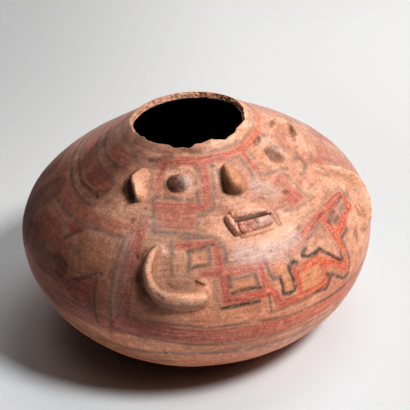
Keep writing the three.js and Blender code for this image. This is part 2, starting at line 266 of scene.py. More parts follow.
# the second square, over the left arm's hollow
ink(4.2, 0.6, -36, 75, -35.6, 85, -35.4, 96, -34.8, 103.6)
ink(3, 0.4, -34.8, 104.6, -32, 105.8, -29, 105.6)
red(6.8, 0.9, -33.6, 80.4, -26, 79.6, -18.8, 79)
red(6.4, 0.65, -18.8, 78, -18.6, 90)
red(6.4, 0.95, -18.6, 91, -18.2, 106, -18.2, 119, -18, 127)
ink(3.2, 0.6, -16.2, 80, -15.8, 90, -16.2, 96)
ink(3.4, 0.75, -29.6, 84.8, -26, 84, -22, 81, -19.8, 80.2)
ink(3.8, 0.65, -29.2, 85, -29, 93, -29.4, 101)
ink(3.2, 0.6, -21.7, 82, -21.8, 95)
ink(2.8, 0.75, -29, 99.6, -26, 97.6, -22, 96.6)
orange(0, 0.35, -28, 86, -23, 85.4, -23, 94, -28, 95)
red(7.4, 0.75, -24.6, 104.6, -17, 105, -10, 104.8, -3, 103.6)
ink(3, 0.4, -21, 110, -21, 122, -20.6, 133)
ink(2.6, 0.4, -34, 115, -29.6, 114.6)
# the third square
ink(3.4, 0.8, -16.3, 109.6, -16.4, 116)
ink(2.8, 0.6, -15.4, 111, -10.6, 111, -7.4, 109.6)
ink(3.2, 0.75, -7.7, 110, -7.6, 121)
ink(2.6, 0.95, -16.2, 122.4, -13.6, 121, -10, 120.8, -6.8, 122.4)
orange(0, 0.6, -15, 112.4, -8.6, 112, -8.6, 120, -15, 120)
red(6.4, 1, -18.6, 128, -10, 127.6, -4, 127.4)
ink(3, 1, -19.8, 133.2, -14, 132.4, -8.2, 133)
red(6.2, 1, -5.2, 100, -5.2, 112, -5, 124, -2.8, 131, -2.4, 141)
ink(1.6, 0.8, -5, 130, -5, 146)
ink(2, 0.7, -5, 146, 0.4, 146.4, 9.6, 146)
# the stepped line and the orange square
ink(3, 0.7, -3.4, 98.8, -3.1, 105, -2.9, 112.5, -2.4, 118.4, 0, 119)
ink(3, 0.95, 0, 119, 0.2, 126, -0.2, 133, 1.8, 134.8, 4, 134, 4.3, 126, 4, 118)
ink(3.8, 0.9, 4, 118, 4.4, 113.8, 6.4, 111.8, 7.4, 113)
ink(2.8, 0.55, 6.2, 112, 5.8, 105.6)
orange(0, 0.7, -2, 107, 4.4, 106, 3, 117, -1.6, 117)
orange(0, 0.8, 1, 120, 3.4, 120, 3.2, 133, 0.8, 133)
red(7.4, 1, 5.8, 139.6, 5.8, 130, 6, 119.6, 11, 119.2, 16, 119.6)
red(8, 1, 16, 119.6, 16.4, 130, 16, 141, 10, 142, 4, 141.6, -1.6, 142)
orange(0, 1, 7.4, 122.8, 14.2, 122.8, 14.2, 138.4, 7.4, 138.6)
ink(3.2, 0.95, 10.6, 111, 12.9, 113.7, 15.3, 114.2, 18.2, 113.3, 19.1, 117.7)
ink(3.2, 0.95, 19.1, 117.7, 20.7, 121.7, 22.4, 127.4, 24.5, 133, 25.8, 133.6)
ink(3, 0.8, 10.6, 111, 11, 108.8, 13, 106.8)
ink(2.6, 0.8, 25.5, 127.6, 25.8, 134)
ink(3.2, 0.85, 17, 135.6, 18.7, 138.2, 20, 140.6, 22, 145.6, 24.6, 151.4, 27.4, 151)
ink(3.2, 0.85, 18.5, 138, 17.6, 141.6, 16.6, 145.6, 15.2, 147.9, 13.6, 145.8, 11, 145)
red(9, 1, 18.4, 126, 21.4, 131.4, 24, 137, 26.6, 144)
red(8.6, 0.95, 26.8, 144.6, 27.4, 134, 27.2, 120, 27.4, 104, 27.6, 99)
ink(2.8, 0.45, 24.7, 96, 24.9, 110, 25.2, 128)
ink(3.2, 0.75, 29.3, 119.6, 29.2, 132, 29.2, 140, 28.6, 147)
ink(3.2, 0.8, 29.4, 118.6, 32, 118.4, 34.6, 117)
# the band that loops over the right of the belly
red(8.2, 0.7, 6, 102.2, 13, 99.4, 19, 94, 25, 91)
red(7.6, 0.95, 25, 92.6, 32, 93, 39, 92.6, 44.6, 95, 45, 100, 43.4, 107)
red(8.2, 1, 44, 108.4, 37, 109.4, 30, 113)
ink(3.2, 0.5, 8.6, 97.6, 11, 94.6, 14.4, 90.4, 18, 87.4, 23, 84, 27, 85.4)
ink(3, 0.5, 12.6, 105.6, 17, 100.6, 20.6, 97.6, 24.4, 97.2)
ink(3.8, 0.75, 28.8, 101.6, 31.4, 99.4, 34.4, 98.8)
ink(3.4, 0.75, 31, 104.6, 34.4, 104.8)
ink(3.6, 0.6, 37.2, 98.2, 41, 96.6, 44, 96.8)
ink(3.2, 0.5, 37, 103.4, 41.6, 103)
ink(3.6, 0.6, 45, 90, 47.8, 93, 47.6, 99, 46.6, 104)
ink(2.6, 0.4, 30, 86.6, 37, 86, 43.6, 84.6, 47, 82)
ink(3.4, 0.5, 42.6, 131, 46, 134.4, 49, 137)
red(10, 0.6, 57, 69, 64, 71, 72, 74, 82, 77)
red(9, 0.35, 63, 80, 68, 92, 72, 106)
ink(3.2, 0.45, 60.4, 72, 62.6, 84, 65.6, 96)
# the belt
ink(2.6, 0.7, -48.8, 144.6, -41, 145.8, -30, 147.4, -24, 150, -12.4, 150.4)
ink(2.4, 0.8, -9, 151.4, -5, 153, 0, 155.4, 6, 156.8, 12, 157.6, 18, 159, 26, 160.8)
ink(2.4, 0.6, 26, 160.8, 40, 163.4, 60, 166, 80, 165)
red(17, 0.85, -52, 154.6, -40, 156, -30, 158.6, -20, 160.8, -10, 162, 0, 164)
red(16, 0.75, 0, 164, 8, 165.4, 18, 167, 32, 169, 50, 172, 80, 174)
ink(2.6, 0.7, -57, 162, -50, 162.6, -43, 164.8, -36, 166.4, -30, 168.8, -20, 171.9)
ink(2.8, 0.5, -20, 171.9, -14, 173, -4, 173, 4, 175, 12, 178.4, 24, 181)
ink(6, 0.5, -52, 189, -43, 186.4, -36, 184, -26, 183.2, -17, 183.6, -4, 185, 8, 188)
ink(5, 0.4, 8, 188, 30, 194, 60, 197)
ink(6, 0.45, -52, 189, -62, 188, -74, 184.6, -90, 181)
# the left flank
red(13, 0.8, -50.6, 64, -50.4, 80, -50.6, 100, -50.6, 125, -51, 158)
red(7, 0.5, -47, 66, -41, 70)
red(13, 0.6, -118, 74, -105, 72.4, -92, 73, -80, 73.4, -70, 72.6, -61, 72.4, -53, 73)
ink(2.8, 0.7, -55.2, 79, -55.4, 90, -55.2, 110, -55, 135, -55.2, 160, -56.6, 171)
ink(3, 0.75, -70, 128, -67, 123.7, -63.5, 118.9, -61.4, 114.6, -59.4, 113.6)
ink(3, 0.75, -59.4, 113.6, -61, 119, -61, 132, -61, 148, -60.6, 161)
red(0, 0.85, -74, 132, -68, 124.6, -62, 119.6, -61.6, 158, -67, 150, -73, 143)
ink(3.4, 0.7, -75.6, 88.4, -78.4, 93.6, -81, 101)
ink(3.2, 0.55, -81.6, 82.8, -75.7, 82.8, -72, 82, -70, 79.6, -62, 80, -55.4, 79.4)
ink(4, 0.6, -102, 83, -94, 81.6, -85, 82.4)
red(0, 1, -84, 91, -81, 82.6, -73.6, 84.4, -78, 94)
red(0, 0.5, -102, 96, -88, 92, -82, 100, -80, 110, -93, 118, -103, 118)
orange(0, 0.45, -77, 93, -66, 85.6, -60.6, 93, -59, 110, -66, 117, -71, 105)
red(9, 0.6, -97, 118, -88, 108, -80, 108, -76, 116)
ink(3.6, 0.5, -77.4, 104.4, -72.4, 104.6, -70, 108)
ink(4.6, 0.5, -89.4, 119.6, -84, 121, -78, 119)
ink(4.6, 0.45, -104, 120, -99, 115, -96.4, 113)
red(8, 0.5, -90, 140, -80, 134, -72, 137)
# nested bands on the left of the shoulder, carried on round the back
ink(2.8, 0.6, -81, 23, -77.8, 20.5, -76, 17, -73.8, 13.6)
ink(4.2, 0.5, -79, 6, -75, 8.4, -70.6, 10.4)
red(0, 0.6, -80, 17, -73, 17, -72, 25, -79, 25)
ink(3, 0.75, -81, 23.2, -88, 22.8, -94, 23.8, -100, 23.4, -118, 22.4, -140, 22, -164, 23)
ink(2.8, 0.65, -77.4, 50, -75.4, 43, -76, 38, -81, 34.6, -92, 34, -102, 33.6)
ink(2.8, 0.65, -102, 33.6, -108, 32.5, -118, 32, -140, 32, -160, 33)
red(14, 0.95, -80, 44, -88, 43.6, -97, 43)
red(13, 0.55, -97, 43, -118, 42, -140, 42, -162, 43)
ink(3.2, 0.85, -78.6, 56, -81, 53.6, -88, 54.4, -95.3, 55.3, -100, 54, -107, 52.4)
ink(3, 0.7, -107, 52.4, -118, 51.4, -140, 52, -166, 54)
ink(3.6, 0.7, -80, 65, -86, 65.6, -91, 65, -99.5, 63.4, -105, 62.4, -113, 60.5, -140, 61, -170, 64)
red(11, 0.55, -81, 14, -92, 14.6, -104, 15.6, -118, 16, -150, 16)
ink(2.4, 0.6, -80, 2, -88, 1.6, -110, 2.6, -140, 2, -170, 1.6)


def fret(azimuth, drop, size, hand):
    """A stepped square key in the vessel's manner, with its corner at a place. It runs to the right
    of it where hand is 1, and to the left where it is -1."""
    wide = size / degree_at(drop + size / 2) * hand

    def at(*steps):
        """Places from pairs of steps: shares of the key's width, and millimetres down."""
        return np.ravel(np.reshape(steps, (-1, 2)) * (wide, 1) + (azimuth, drop))

    half, low, step = 0.5 * size, size + 5, 0.42 * size
    red(7, 0.85, *at(0, 0, 1, 0, 1, size, 0.34, size, 0.34, half))
    ink(2.8, 0.7, *at(0, -5, 1.14, -5, 1.14, low, 0.2, low))
    ink(2.8, 0.7, *at(0, 5, 0.86, 5, 0.86, size - 5, 0.5, size - 5, 0.5, step, 0.2, step, 0.2, low))
    orange(0, 0.6, *at(0.05, half, 0.18, half, 0.18, size, 0.05, size))


def upright(azimuth, top, low):
    """A red band down the wall between two dark lines."""
    middle = (top + low) / 2
    red(9, 0.8, azimuth, top, azimuth + 0.6, middle, azimuth, low)
    for beside in (azimuth - 2.6, azimuth + 2.6):
        ink(2.8, 0.65, beside, top, beside + 0.4, middle, beside, low + 4)


# The back isn't seen in the photograph, so the bands, keys and belt go on round it
for key in [(92, 88, 34, 1), (118, 84, 38, 1), (146, 92, 34, 1), (-122, 86, 36, -1), (-150, 90, 34, -1)]:
    fret(*key)
for band in [
    (86, 76, 160), (112, 76, 158), (140, 78, 158), (174, 72, 156), (-114, 74, 150), (-144, 76, 152),
]:
    upright(*band)
ink(2.4, 0.6, 80, 165, 110, 160, 150, 154, 190, 148, 230, 146, 270, 146, 305, 152)
red(15, 0.75, 80, 174, 110, 169, 150, 163, 190, 157, 230, 155, 270, 155, 308, 160)
ink(2.6, 0.6, 24, 181, 60, 184, 90, 181, 130, 176, 180, 168, 230, 164, 270, 164, 303, 168)
ink(5, 0.4, 60, 197, 100, 194, 150, 186, 200, 180, 240, 178, 270, 181)
ink(2.8, 0.6, 96, 24, 120, 22.6, 150, 22, 178, 23)
ink(2.8, 0.6, 94, 34, 120, 33, 150, 32.6, 176, 33)
red(13, 0.6, 92, 44, 120, 42.6, 150, 42, 176, 43)
ink(3, 0.65, 90, 54, 120, 53, 150, 52.6, 180, 54)
ink(3.2, 0.5, 92, 64, 120, 62, 150, 62, 184, 64)
red(7, 0.6, 60, 4, 90, 5, 130, 5, 180, 5, 230, 6)

# Bare clay, soot, grey bloom with painted sheen, and painted shade in gaps, hollows and over the left
# flank, laid like the paint
bare(12, 1, 0, -11, 30, -11, 60, -11, 90, -11, 120, -11, 150, -11, 180, -11, 210, -11, 240, -11)
soot(10, 0.55, -84, -5, -72, -7, -62, -5, -48, -5, -36, -7)
soot(5, 0.9, -42, -6, -34, -7, -26, -5, -18, -3.4)
bare(15, 0.4, -57, 20, -58.6, 30, -56, 42)
soot(9, 0.35, -37.4, 92, -37, 100, -36, 107, -32, 113, -28, 114)
bare(6, 0.9, -43, 21, -40, 14.6, -34, 12.6, -27, 14, -23.6, 22, -26, 30, -31, 35.6)
bare(6, 0.9, 28.4, 36, 26.6, 27, 29, 19.6, 34, 15.4, 41, 15, 47.4, 19)
bare(20, 0.7, -6, 24, -5, 40, -4, 52, 0, 58)
bare(16, 0.8, -18, 62, -12, 80, 0, 84, 12, 80)
bare(26, 0.7, 47, 74, 52, 84, 55, 98, 55, 112, 52, 124)
bare(24, 0.5, 40, 124, 44, 138, 52, 132, 60, 118)
soot(2.4, 0.5, 54, 78, 56, 84, 55, 90)
soot(3, 0.45, 59, 92, 60, 100)
soot(2.4, 0.5, 50, 112, 49, 119, 46, 126)
bare(22, 0.6, 60, 10, 72, 16, 80, 30, 78, 46, 64, 52, 58, 42)
bare(18, 0.6, 20, 80, 30, 80, 36, 72, 44, 70)
bare(14, 0.5, 38, 124, 34, 138, 31, 150)
# darker patches over the left flank and shoulder, partly painted shade
soot(30, 0.7, -108, 84, -112, 110, -106, 130)
soot(16, 0.5, -118, 28, -108, 46, -116, 62)
soot(12, 0.4, -74, 8, -64, 10, -52, 8, -40, 8)
soot(16, 0.5, -84, 30, -88, 42, -94, 50)
soot(2.6, 0.6, 49.6, 100, 47.6, 106)
soot(3.2, 0.5, 47, 113, 45.5, 121)
soot(2.8, 0.5, 41.5, 124, 36.6, 126.4)
soot(2, 0.5, 42.6, 104, 41.6, 108)
# darker patches low on the left flank
soot(12, 0.75, -80, 119.6, -76, 123, -77, 128)
soot(4, 0.9, -78.6, 121, -75.6, 124.6)
soot(8, 0.45, -87, 60.6, -81, 55, -76, 48)
soot(26, 0.45, -92, 160, -78, 178, -58, 194, -42, 202)
soot(3, 1, -48.4, 91.6, -47, 93.4)
soot(1.8, 1, -55, 61.4, -54.8, 63.8)
soot(1.4, 1, 8, 52.6, 8.3, 53.4)
soot(2.6, 0.9, 20.4, 57.6, 22.4, 59.6)
soot(2, 0.9, -39, 178, -38.6, 196)
# painted shade along the foot of the left arm's inner slope
soot(5, 0.6, -36, 111, -33, 114.6, -30, 115)
soot(5, 0.5, 38, 126, 37, 134)
soot(4, 0.6, 61.6, 104.6, 63, 107.4)
soot(5, 0.4, 47, 70, 49, 78)
# a dark stain with painted shade on the left sides of the eye pellets
soot(9, 0.9, -40.4, 23, -40, 27, -37.6, 29.4)
soot(6, 0.8, -37.6, 22, -35, 27, -32.6, 29)
soot(6, 0.9, 33.6, 23, 33, 28, 35, 32.6)
# painted shade in the nick at the elbow and on the forearm's lower face
soot(2.6, 0.8, -39, 119.8, -37, 122.6)
soot(6, 0.3, -38, 127, -33, 128, -26, 128)
# painted highlights on the lit right sides of the eye pellets
haze(7, 1, -29.4, 20.6, -28.4, 27)
haze(8, 1, 43, 26, 42, 32)
# painted shade on the nose's left facet and the shadow under it
soot(5.5, 1, -7.6, 18, -8.2, 28, -7.6, 37, -5, 41.6, -2, 42.4)
# pale bloom and painted light on the right of the mouth's plate
haze(6, 1, 1.4, 70.4, 5.6, 70.8)
soot(3, 0.8, -9, 76.4, -7, 76.8)
soot(3, 0.7, 9.6, 72, 9, 79)
# painted shade: near black in the slit under the upper lip and in the plate's notch
dark(3, 1, -8.8, 64.4, -6, 64.8, -3, 65.2, 1, 66, 4.5, 67, 6.4, 67.6)
dark(2.4, 1, 6.2, 67.4, 7.2, 67.9)
dark(1, 0.8, -1, 65.6, -0.5, 67.6, -0.2, 74.6)
# painted shade in the hollows of the right ear
soot(2, 0.6, 65.4, 18.6, 67.5, 17.6, 71, 18.6, 74.6, 21.4)
soot(2.4, 0.8, 75.4, 35.6, 73.4, 38.4, 70, 39.4, 65, 42)
dark(0.8, 0.35, 66, 18.2, 69, 17.8)
dark(1, 0.6, 74.4, 37, 70, 39.4)
# painted shade in the crease over the thumb and in a notch of the hand
dark(0.6, 0.6, -26.6, 107.4, -25.4, 107.9, -24.1, 109.6)
soot(1.6, 0.6, -28, 107.4, -27.8, 109)
dark(0.9, 0.6, -25.5, 124, -24.2, 125, -24.8, 126.6)
# painted shadow cast by the left arm on the wall beside it
soot(3, 0.7, -45.4, 86, -46.8, 94, -47.2, 104, -46.4, 112, -44.4, 119, -41.6, 125)
# painted shadow cast by the left ear, dark on the wall beside it
soot(9, 1, -65, 22, -67.4, 32, -65, 40, -60, 46)
dark(5, 0.9, -65.4, 24, -66, 31, -63.4, 37.6, -60, 43)
# painted shade: a dark veil over the left flank, standing in for the shade on that side
veil(82, 1, -98, 38, -96, 56, -98, 84)
veil(90, 1, -116, 100, -98, 100, -86, 110, -78, 126)
veil(56, 0.9, -70, 114, -66, 124, -62, 132)
soot(16, 0.5, -94, 40, -92, 52)
haze(26, 0.45, -116, 12, -112, 22)
# painted shadow of the left arm on the wall under it
veil(44, 1, -52, 112, -49, 122, -44, 130)
# painted highlight where the key lamp's reflection falls on the belly, and below it sheen mixed with grey
# bloom
haze(17, 0.8, -10, 93, -3, 95, 4, 96, 10, 94)
haze(8, 0.6, -2, 100, 4, 104)
haze(12, 0.7, 9, 40, 14, 46, 16, 52)
haze(14, 0.5, -53.4, 78, -53, 100, -53, 138)
haze(16, 0.35, -48, 60, -38, 80, -42, 66)

FAR = 40.0  # how far a stroke is looked for beyond its edge, in millimetres
ALL_ROUND = 300  # a stroke that spans more degrees than this is looked for all round


def store(mesh, fields):
    """Keeps numbers on a mesh's points for its finish."""
    for name, values in fields.items():
        attribute = mesh.attributes.new(name, "FLOAT", "POINT")
        attribute.data.foreach_set("value", np.asarray(values, np.float32))


def paint(mesh, azimuth, drop, raised):
    """Stores on a mesh, for its finish, how deep each point lies in each kind of paint."""
    store(mesh, {"drop": drop, "raised": raised})
    per_degree = DEGREE * np.clip(radius_at(drop), 40, None)
    for kind, strokes in STROKES.items():
        depth = np.full(len(azimuth), -FAR)
        strength, side, run = np.zeros((3, len(azimuth)))
        for width, full, line in strokes:
            reach = width / 2 + FAR
            (start, top), (end, low) = line.min(0), line.max(0)
            near = (drop > top - reach) & (drop < low + reach)
            if end - start < ALL_ROUND:
                away = np.abs(apart(azimuth, (start + end) / 2))
                near &= away < (end - start) / 2 + reach / per_degree
            at = np.flatnonzero(near)
            if not len(at):
                continue
            if width:
                away, across, along, _ = follow(azimuth[at], drop[at], line)
                value = width / 2 - away
            else:
                away = follow(azimuth[at], drop[at], np.vstack([line, line[:1]]))[0]
                value = np.where(within(azimuth[at], drop[at], line), away, -away)
                across, along = drop[at], azimuth[at]
            deeper = value > depth[at]
            at = at[deeper]
            depth[at], strength[at] = value[deeper], full
            side[at], run[at] = across[deeper], along[deeper]
        store(mesh, {kind: depth, kind + "_strength": strength})
        if kind == "red":
            store(mesh, {"red_side": side, "red_run": run})


def within(azimuth, drop, outline):
    """Whether places lie inside an outline of places."""
    inside = np.zeros(len(azimuth), bool)
    x = apart(azimuth, outline[0, 0])
    for (az1, drop1), (az2, drop2) in zip(outline, np.roll(outline, -1, axis=0)):
        x1, x2 = az1 - outline[0, 0], az2 - outline[0, 0]
        spans = (drop1 > drop) != (drop2 > drop)
        crossing = x1 + (drop - drop1) * (x2 - x1) / (drop2 - drop1 + 1e-9)
        inside ^= spans & (x < crossing)
    return inside


def put(name, data):
    """A new object in the scene."""
    made = bpy.data.objects.new(name, data)
    bpy.context.scene.collection.objects.link(made)
    return made


def smooth_mesh(name, points, faces):
    """A smooth-shaded mesh from points in metres."""
    mesh = bpy.data.meshes.new(name)
    mesh.from_pydata(points, [], faces)
    mesh.validate()
    mesh.polygons.foreach_set("use_smooth", [True] * len(mesh.polygons))
    return mesh


def make_piece(name, points, faces, nodes, sharp=None):
    """A mesh piece from points in millimetres, which rides with the body and stands for CAD nodes.
    Its edges are kept sharp from an angle in degrees."""
    mesh = smooth_mesh(name, (np.asarray(points) * MM).tolist(), faces)
    if sharp is not None:
        mesh.set_sharp_from_angle(angle=sharp * DEGREE)
    piece = put(name, mesh)
    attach(piece, "root")
    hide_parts(*nodes)
    return piece


# Azimuths of the wall's columns: close where the painted face and belly are, wider at the back
FRONT_START, FRONT_END = -120, 90
COLUMNS = np.r_[
    np.linspace(FRONT_START, FRONT_END, 420, endpoint=False),
    np.linspace(FRONT_END, FRONT_START + 360, 100, endpoint=False),
]
# Rows of the wall's outside: their stride over the columns, first and last drop, and how many
OUTER_ROWS = [(4, WALL_LENGTH, 262, 10), (2, 259, 196, 28), (1, 194, 0, 150)]
INNER_ROWS, INNER_ENDS = 44, 8  # rows of the inside, and how far they stay from the wall's ends
FOOT_RINGS, FLOOR_RINGS = (20, 40, 60), (30, 12)  # radii of the rows under the foot and on the floor
NECK_COLUMNS = 720
SHARP_WALL, SHARP_NECK = 50, 55  # edges from these angles on are kept sharp


def stitch(rows):
    """Faces between closed rows of points, where a row may hold as many points as the one before,
    twice as many or half as many."""
    faces = []
    starts = np.cumsum([0] + [len(row) for row in rows]).tolist()
    for low, high, below, above in zip(starts, starts[1:], rows, rows[1:]):
        n, m = len(below), len(above)
        if n == m:
            faces += [(low + j, low + (j + 1) % n, high + (j + 1) % n, high + j) for j in range(n)]
            continue
        finer, coarser = (low, high) if n > m else (high, low)
        for j in range(min(n, m)):
            a, b, c = (finer + (2 * j + k) % max(n, m) for k in range(3))
            d, e = coarser + j, coarser + (j + 1) % min(n, m)
            three = [(a, b, d), (b, e, d), (b, c, e)]
            faces += three if n > m else [face[::-1] for face in three]
    return faces


def wall_piece():
    """The whole wall with its foot, floor and inside, turned row by row from under the foot."""
    rows, drops = [], []

    def add(stride, radius, height, drop):
        """A row round the wall, with a point on every column or on every second or fourth."""
        rows.append(turn(COLUMNS[::stride], radius, height))
        drops.append(np.full(len(rows[-1]), drop))

    for radius in FOOT_RINGS:
        add(4, radius, 0, WALL_LENGTH + FOOT_RADIUS - radius)
    for stride, first, last, count in OUTER_ROWS:
        for drop in np.linspace(first, last, count):
            add(stride, *section(drop, relief(COLUMNS[::stride], drop)), drop)
    outside = sum(len(row) for row in rows)
    for stride, share in [(2, 0.5), (4, 1)]:
        add(stride, *section(0, -WALL_THICKNESS * share), 0)
    for drop in np.linspace(INNER_ENDS, WALL_LENGTH - INNER_ENDS, INNER_ROWS):
        radius, height = section(drop, -WALL_THICKNESS)
        if height > FLOOR_THICKNESS:
            add(4, radius, height, drop)
    for radius in FLOOR_RINGS:
        add(4, radius, FLOOR_THICKNESS, WALL_LENGTH)
    foot_middle = sum(len(row) for row in rows)
    floor_middle = foot_middle + 1
    points = np.vstack(rows + [[(0, 0, 0), (0, 0, FLOOR_THICKNESS)]])
    n, end = len(rows[0]), foot_middle - len(rows[-1])
    faces = stitch(rows)
    faces += [(foot_middle, (j + 1) % n, j) for j in range(n)]
    faces += [(floor_middle, end + j, end + (j + 1) % n) for j in range(n)]
    wall = make_piece("painted_wall", points, faces, ["vessel_body"], SHARP_WALL)
    azimuth = np.degrees(np.arctan2(points[:, 0], -points[:, 1]))
    drop = np.r_[np.concatenate(drops), WALL_LENGTH + FOOT_RADIUS, WALL_LENGTH]
    paint(wall.data, azimuth, drop, np.zeros(len(points)))
    number = np.arange(len(points))
    store(wall.data, {"inside": (number >= outside) & (number != foot_middle)})
    return wall


def break_at(azimuth):
    """How far the break reaches down at azimuths, eased from one listed place to the next."""
    places, reaches = np.array(BROKEN_EDGE + [(BROKEN_EDGE[0][0] + 360, BROKEN_EDGE[0][1])], float).T
    azimuth = (azimuth - places[0]) % 360 + places[0]
    i = np.clip(np.searchsorted(places, azimuth, side="right") - 1, 0, len(places) - 2)
    share = (azimuth - places[i]) / (places[i + 1] - places[i])
    return reaches[i] + (reaches[i + 1] - reaches[i]) * share**2 * (3 - 2 * share)


def neck_piece():
    """The stub of the neck: a ring whose top is a rough break."""
    azimuth = np.linspace(-180, 180, NECK_COLUMNS, endpoint=False)
    ring = turn(azimuth, 50, 196)  # about where the break is, for the noise on it
    jag = 0.9 - 2.4 * np.abs(rough(ring, 13, 2.2)) + 0.3 * rough(ring, 5, 5.1)
    length = NECK_LENGTH - break_at(azimuth) + (jag + 0.1 * rough(ring, 1.5, 9.4))
    lines, drops, raws, insides = [], [], [], []

    def add(up, deep, raw, inside=0):
        """A line round the stub at a length up its slope and a depth into it."""
        radius, height = section(0, relief(azimuth, -up) * np.clip(1 - deep / 2, 0, 1) - deep)
        inward, lift = along_slope(up)
        lines.append(turn(azimuth, radius - inward, height + lift))
        drops.append(-up)
        raws.append(raw)
        insides.append(inside)

    for share in np.linspace(0, 0.88, 8):
        add((length - 0.5) * share, 0, 0)
    add(length - 0.5, 0.3, 1)
    for share in np.linspace(0.06, 0.94, 9):
        large = 1.3 * rough(ring + (0, 0, share * 7), 3.2, 1.3)
        crumbs = large + 0.7 * rough(ring + (0, 0, share * 9), 1.4, 4.8)
        height = length - 0.4 + crumbs * math.sin(math.pi * share) ** 0.7 - 1.2 * share
        add(height, NECK_THICKNESS * share, 1)
    thin = 0.5 * rough(ring, 5, 8.8)
    for share, inside in zip(np.linspace(0.9, 0, 5), (0, 0.7, 1, 1, 1)):
        add((length - 2) * share, NECK_THICKNESS + thin * share, 0.6, inside)
    add(0 * length, NECK_THICKNESS / 2, 0.6, 1)
    count = len(lines)
    faces = []
    for i in range(NECK_COLUMNS):
        near, far = i * count, (i + 1) % NECK_COLUMNS * count
        faces += [(near + j, far + j, far + (j + 1) % count, near + (j + 1) % count) for j in range(count)]
    points = np.stack(lines, 1).reshape(-1, 3)
    neck = make_piece("broken_neck", points, faces, ["neck_stub"], SHARP_NECK)
    paint(neck.data, np.repeat(azimuth, count), np.stack(drops, 1).reshape(-1), np.zeros(len(points)))
    store(neck.data, {"raw": np.tile(raws, NECK_COLUMNS), "inside": np.tile(insides, NECK_COLUMNS)})
    return neck


def net(field):
    """Points, in grid steps, and quads of the surface where a field of samples crosses zero."""
    cells = tuple(n - 1 for n in field.shape)
    count, total = np.zeros(cells), np.zeros(cells + (3,))
    crossings = []
    for axis in range(3):
        order = (axis, (axis + 1) % 3, (axis + 2) % 3)
        values = field.transpose(order)
        low, high = values[:-1], values[1:]
        cross = (low < 0) != (high < 0)
        share = np.where(cross, low / np.where(cross, low - high, 1), 0)
        crossings.append((order, cross, low < 0))
        count_view, total_view = count.transpose(order), total.transpose(order + (3,))
        where = np.indices(cross.shape)
        for side, deep in [(0, 0), (0, 1), (1, 0), (1, 1)]:
            cut = np.s_[:, side:cross.shape[1] - 1 + side, deep:cross.shape[2] - 1 + deep]
            part = cross[cut]
            count_view += part
            total_view[..., order[0]] += part * (where[0][cut] + share[cut])
            total_view[..., order[1]] += part * where[1][cut]
            total_view[..., order[2]] += part * where[2][cut]
    used = count > 0
    number = np.full(cells, -1)
    number[used] = np.arange(used.sum())
    points = total[used] / count[used][:, None]
    faces = []
    for order, cross, inward in crossings:
        numbers = number.transpose(order)
        i, j, k = np.nonzero(cross[:, 1:-1, 1:-1])
        j, k = j + 1, k + 1
        corners = numbers[i, j - 1, k - 1], numbers[i, j, k - 1], numbers[i, j, k], numbers[i, j - 1, k]
        quads = np.stack(corners, 1)
        outward = inward[i, j, k]
        quads[~outward] = quads[~outward][:, ::-1]
        faces.append(quads)
    return points, np.vstack(faces)


def melt(one, other, reach):
    """The union of two distance fields, smoothed where they meet."""
    blend = np.clip(reach - np.abs(one - other), 0, None) / reach
    return np.minimum(one, other) - blend**2 * reach / 4


def join(one, other, reach):
    """Two shapes, each a distance field and a flat distance on the wall, melted into one."""
    return melt(one[0], other[0], reach), np.minimum(one[1], other[1])


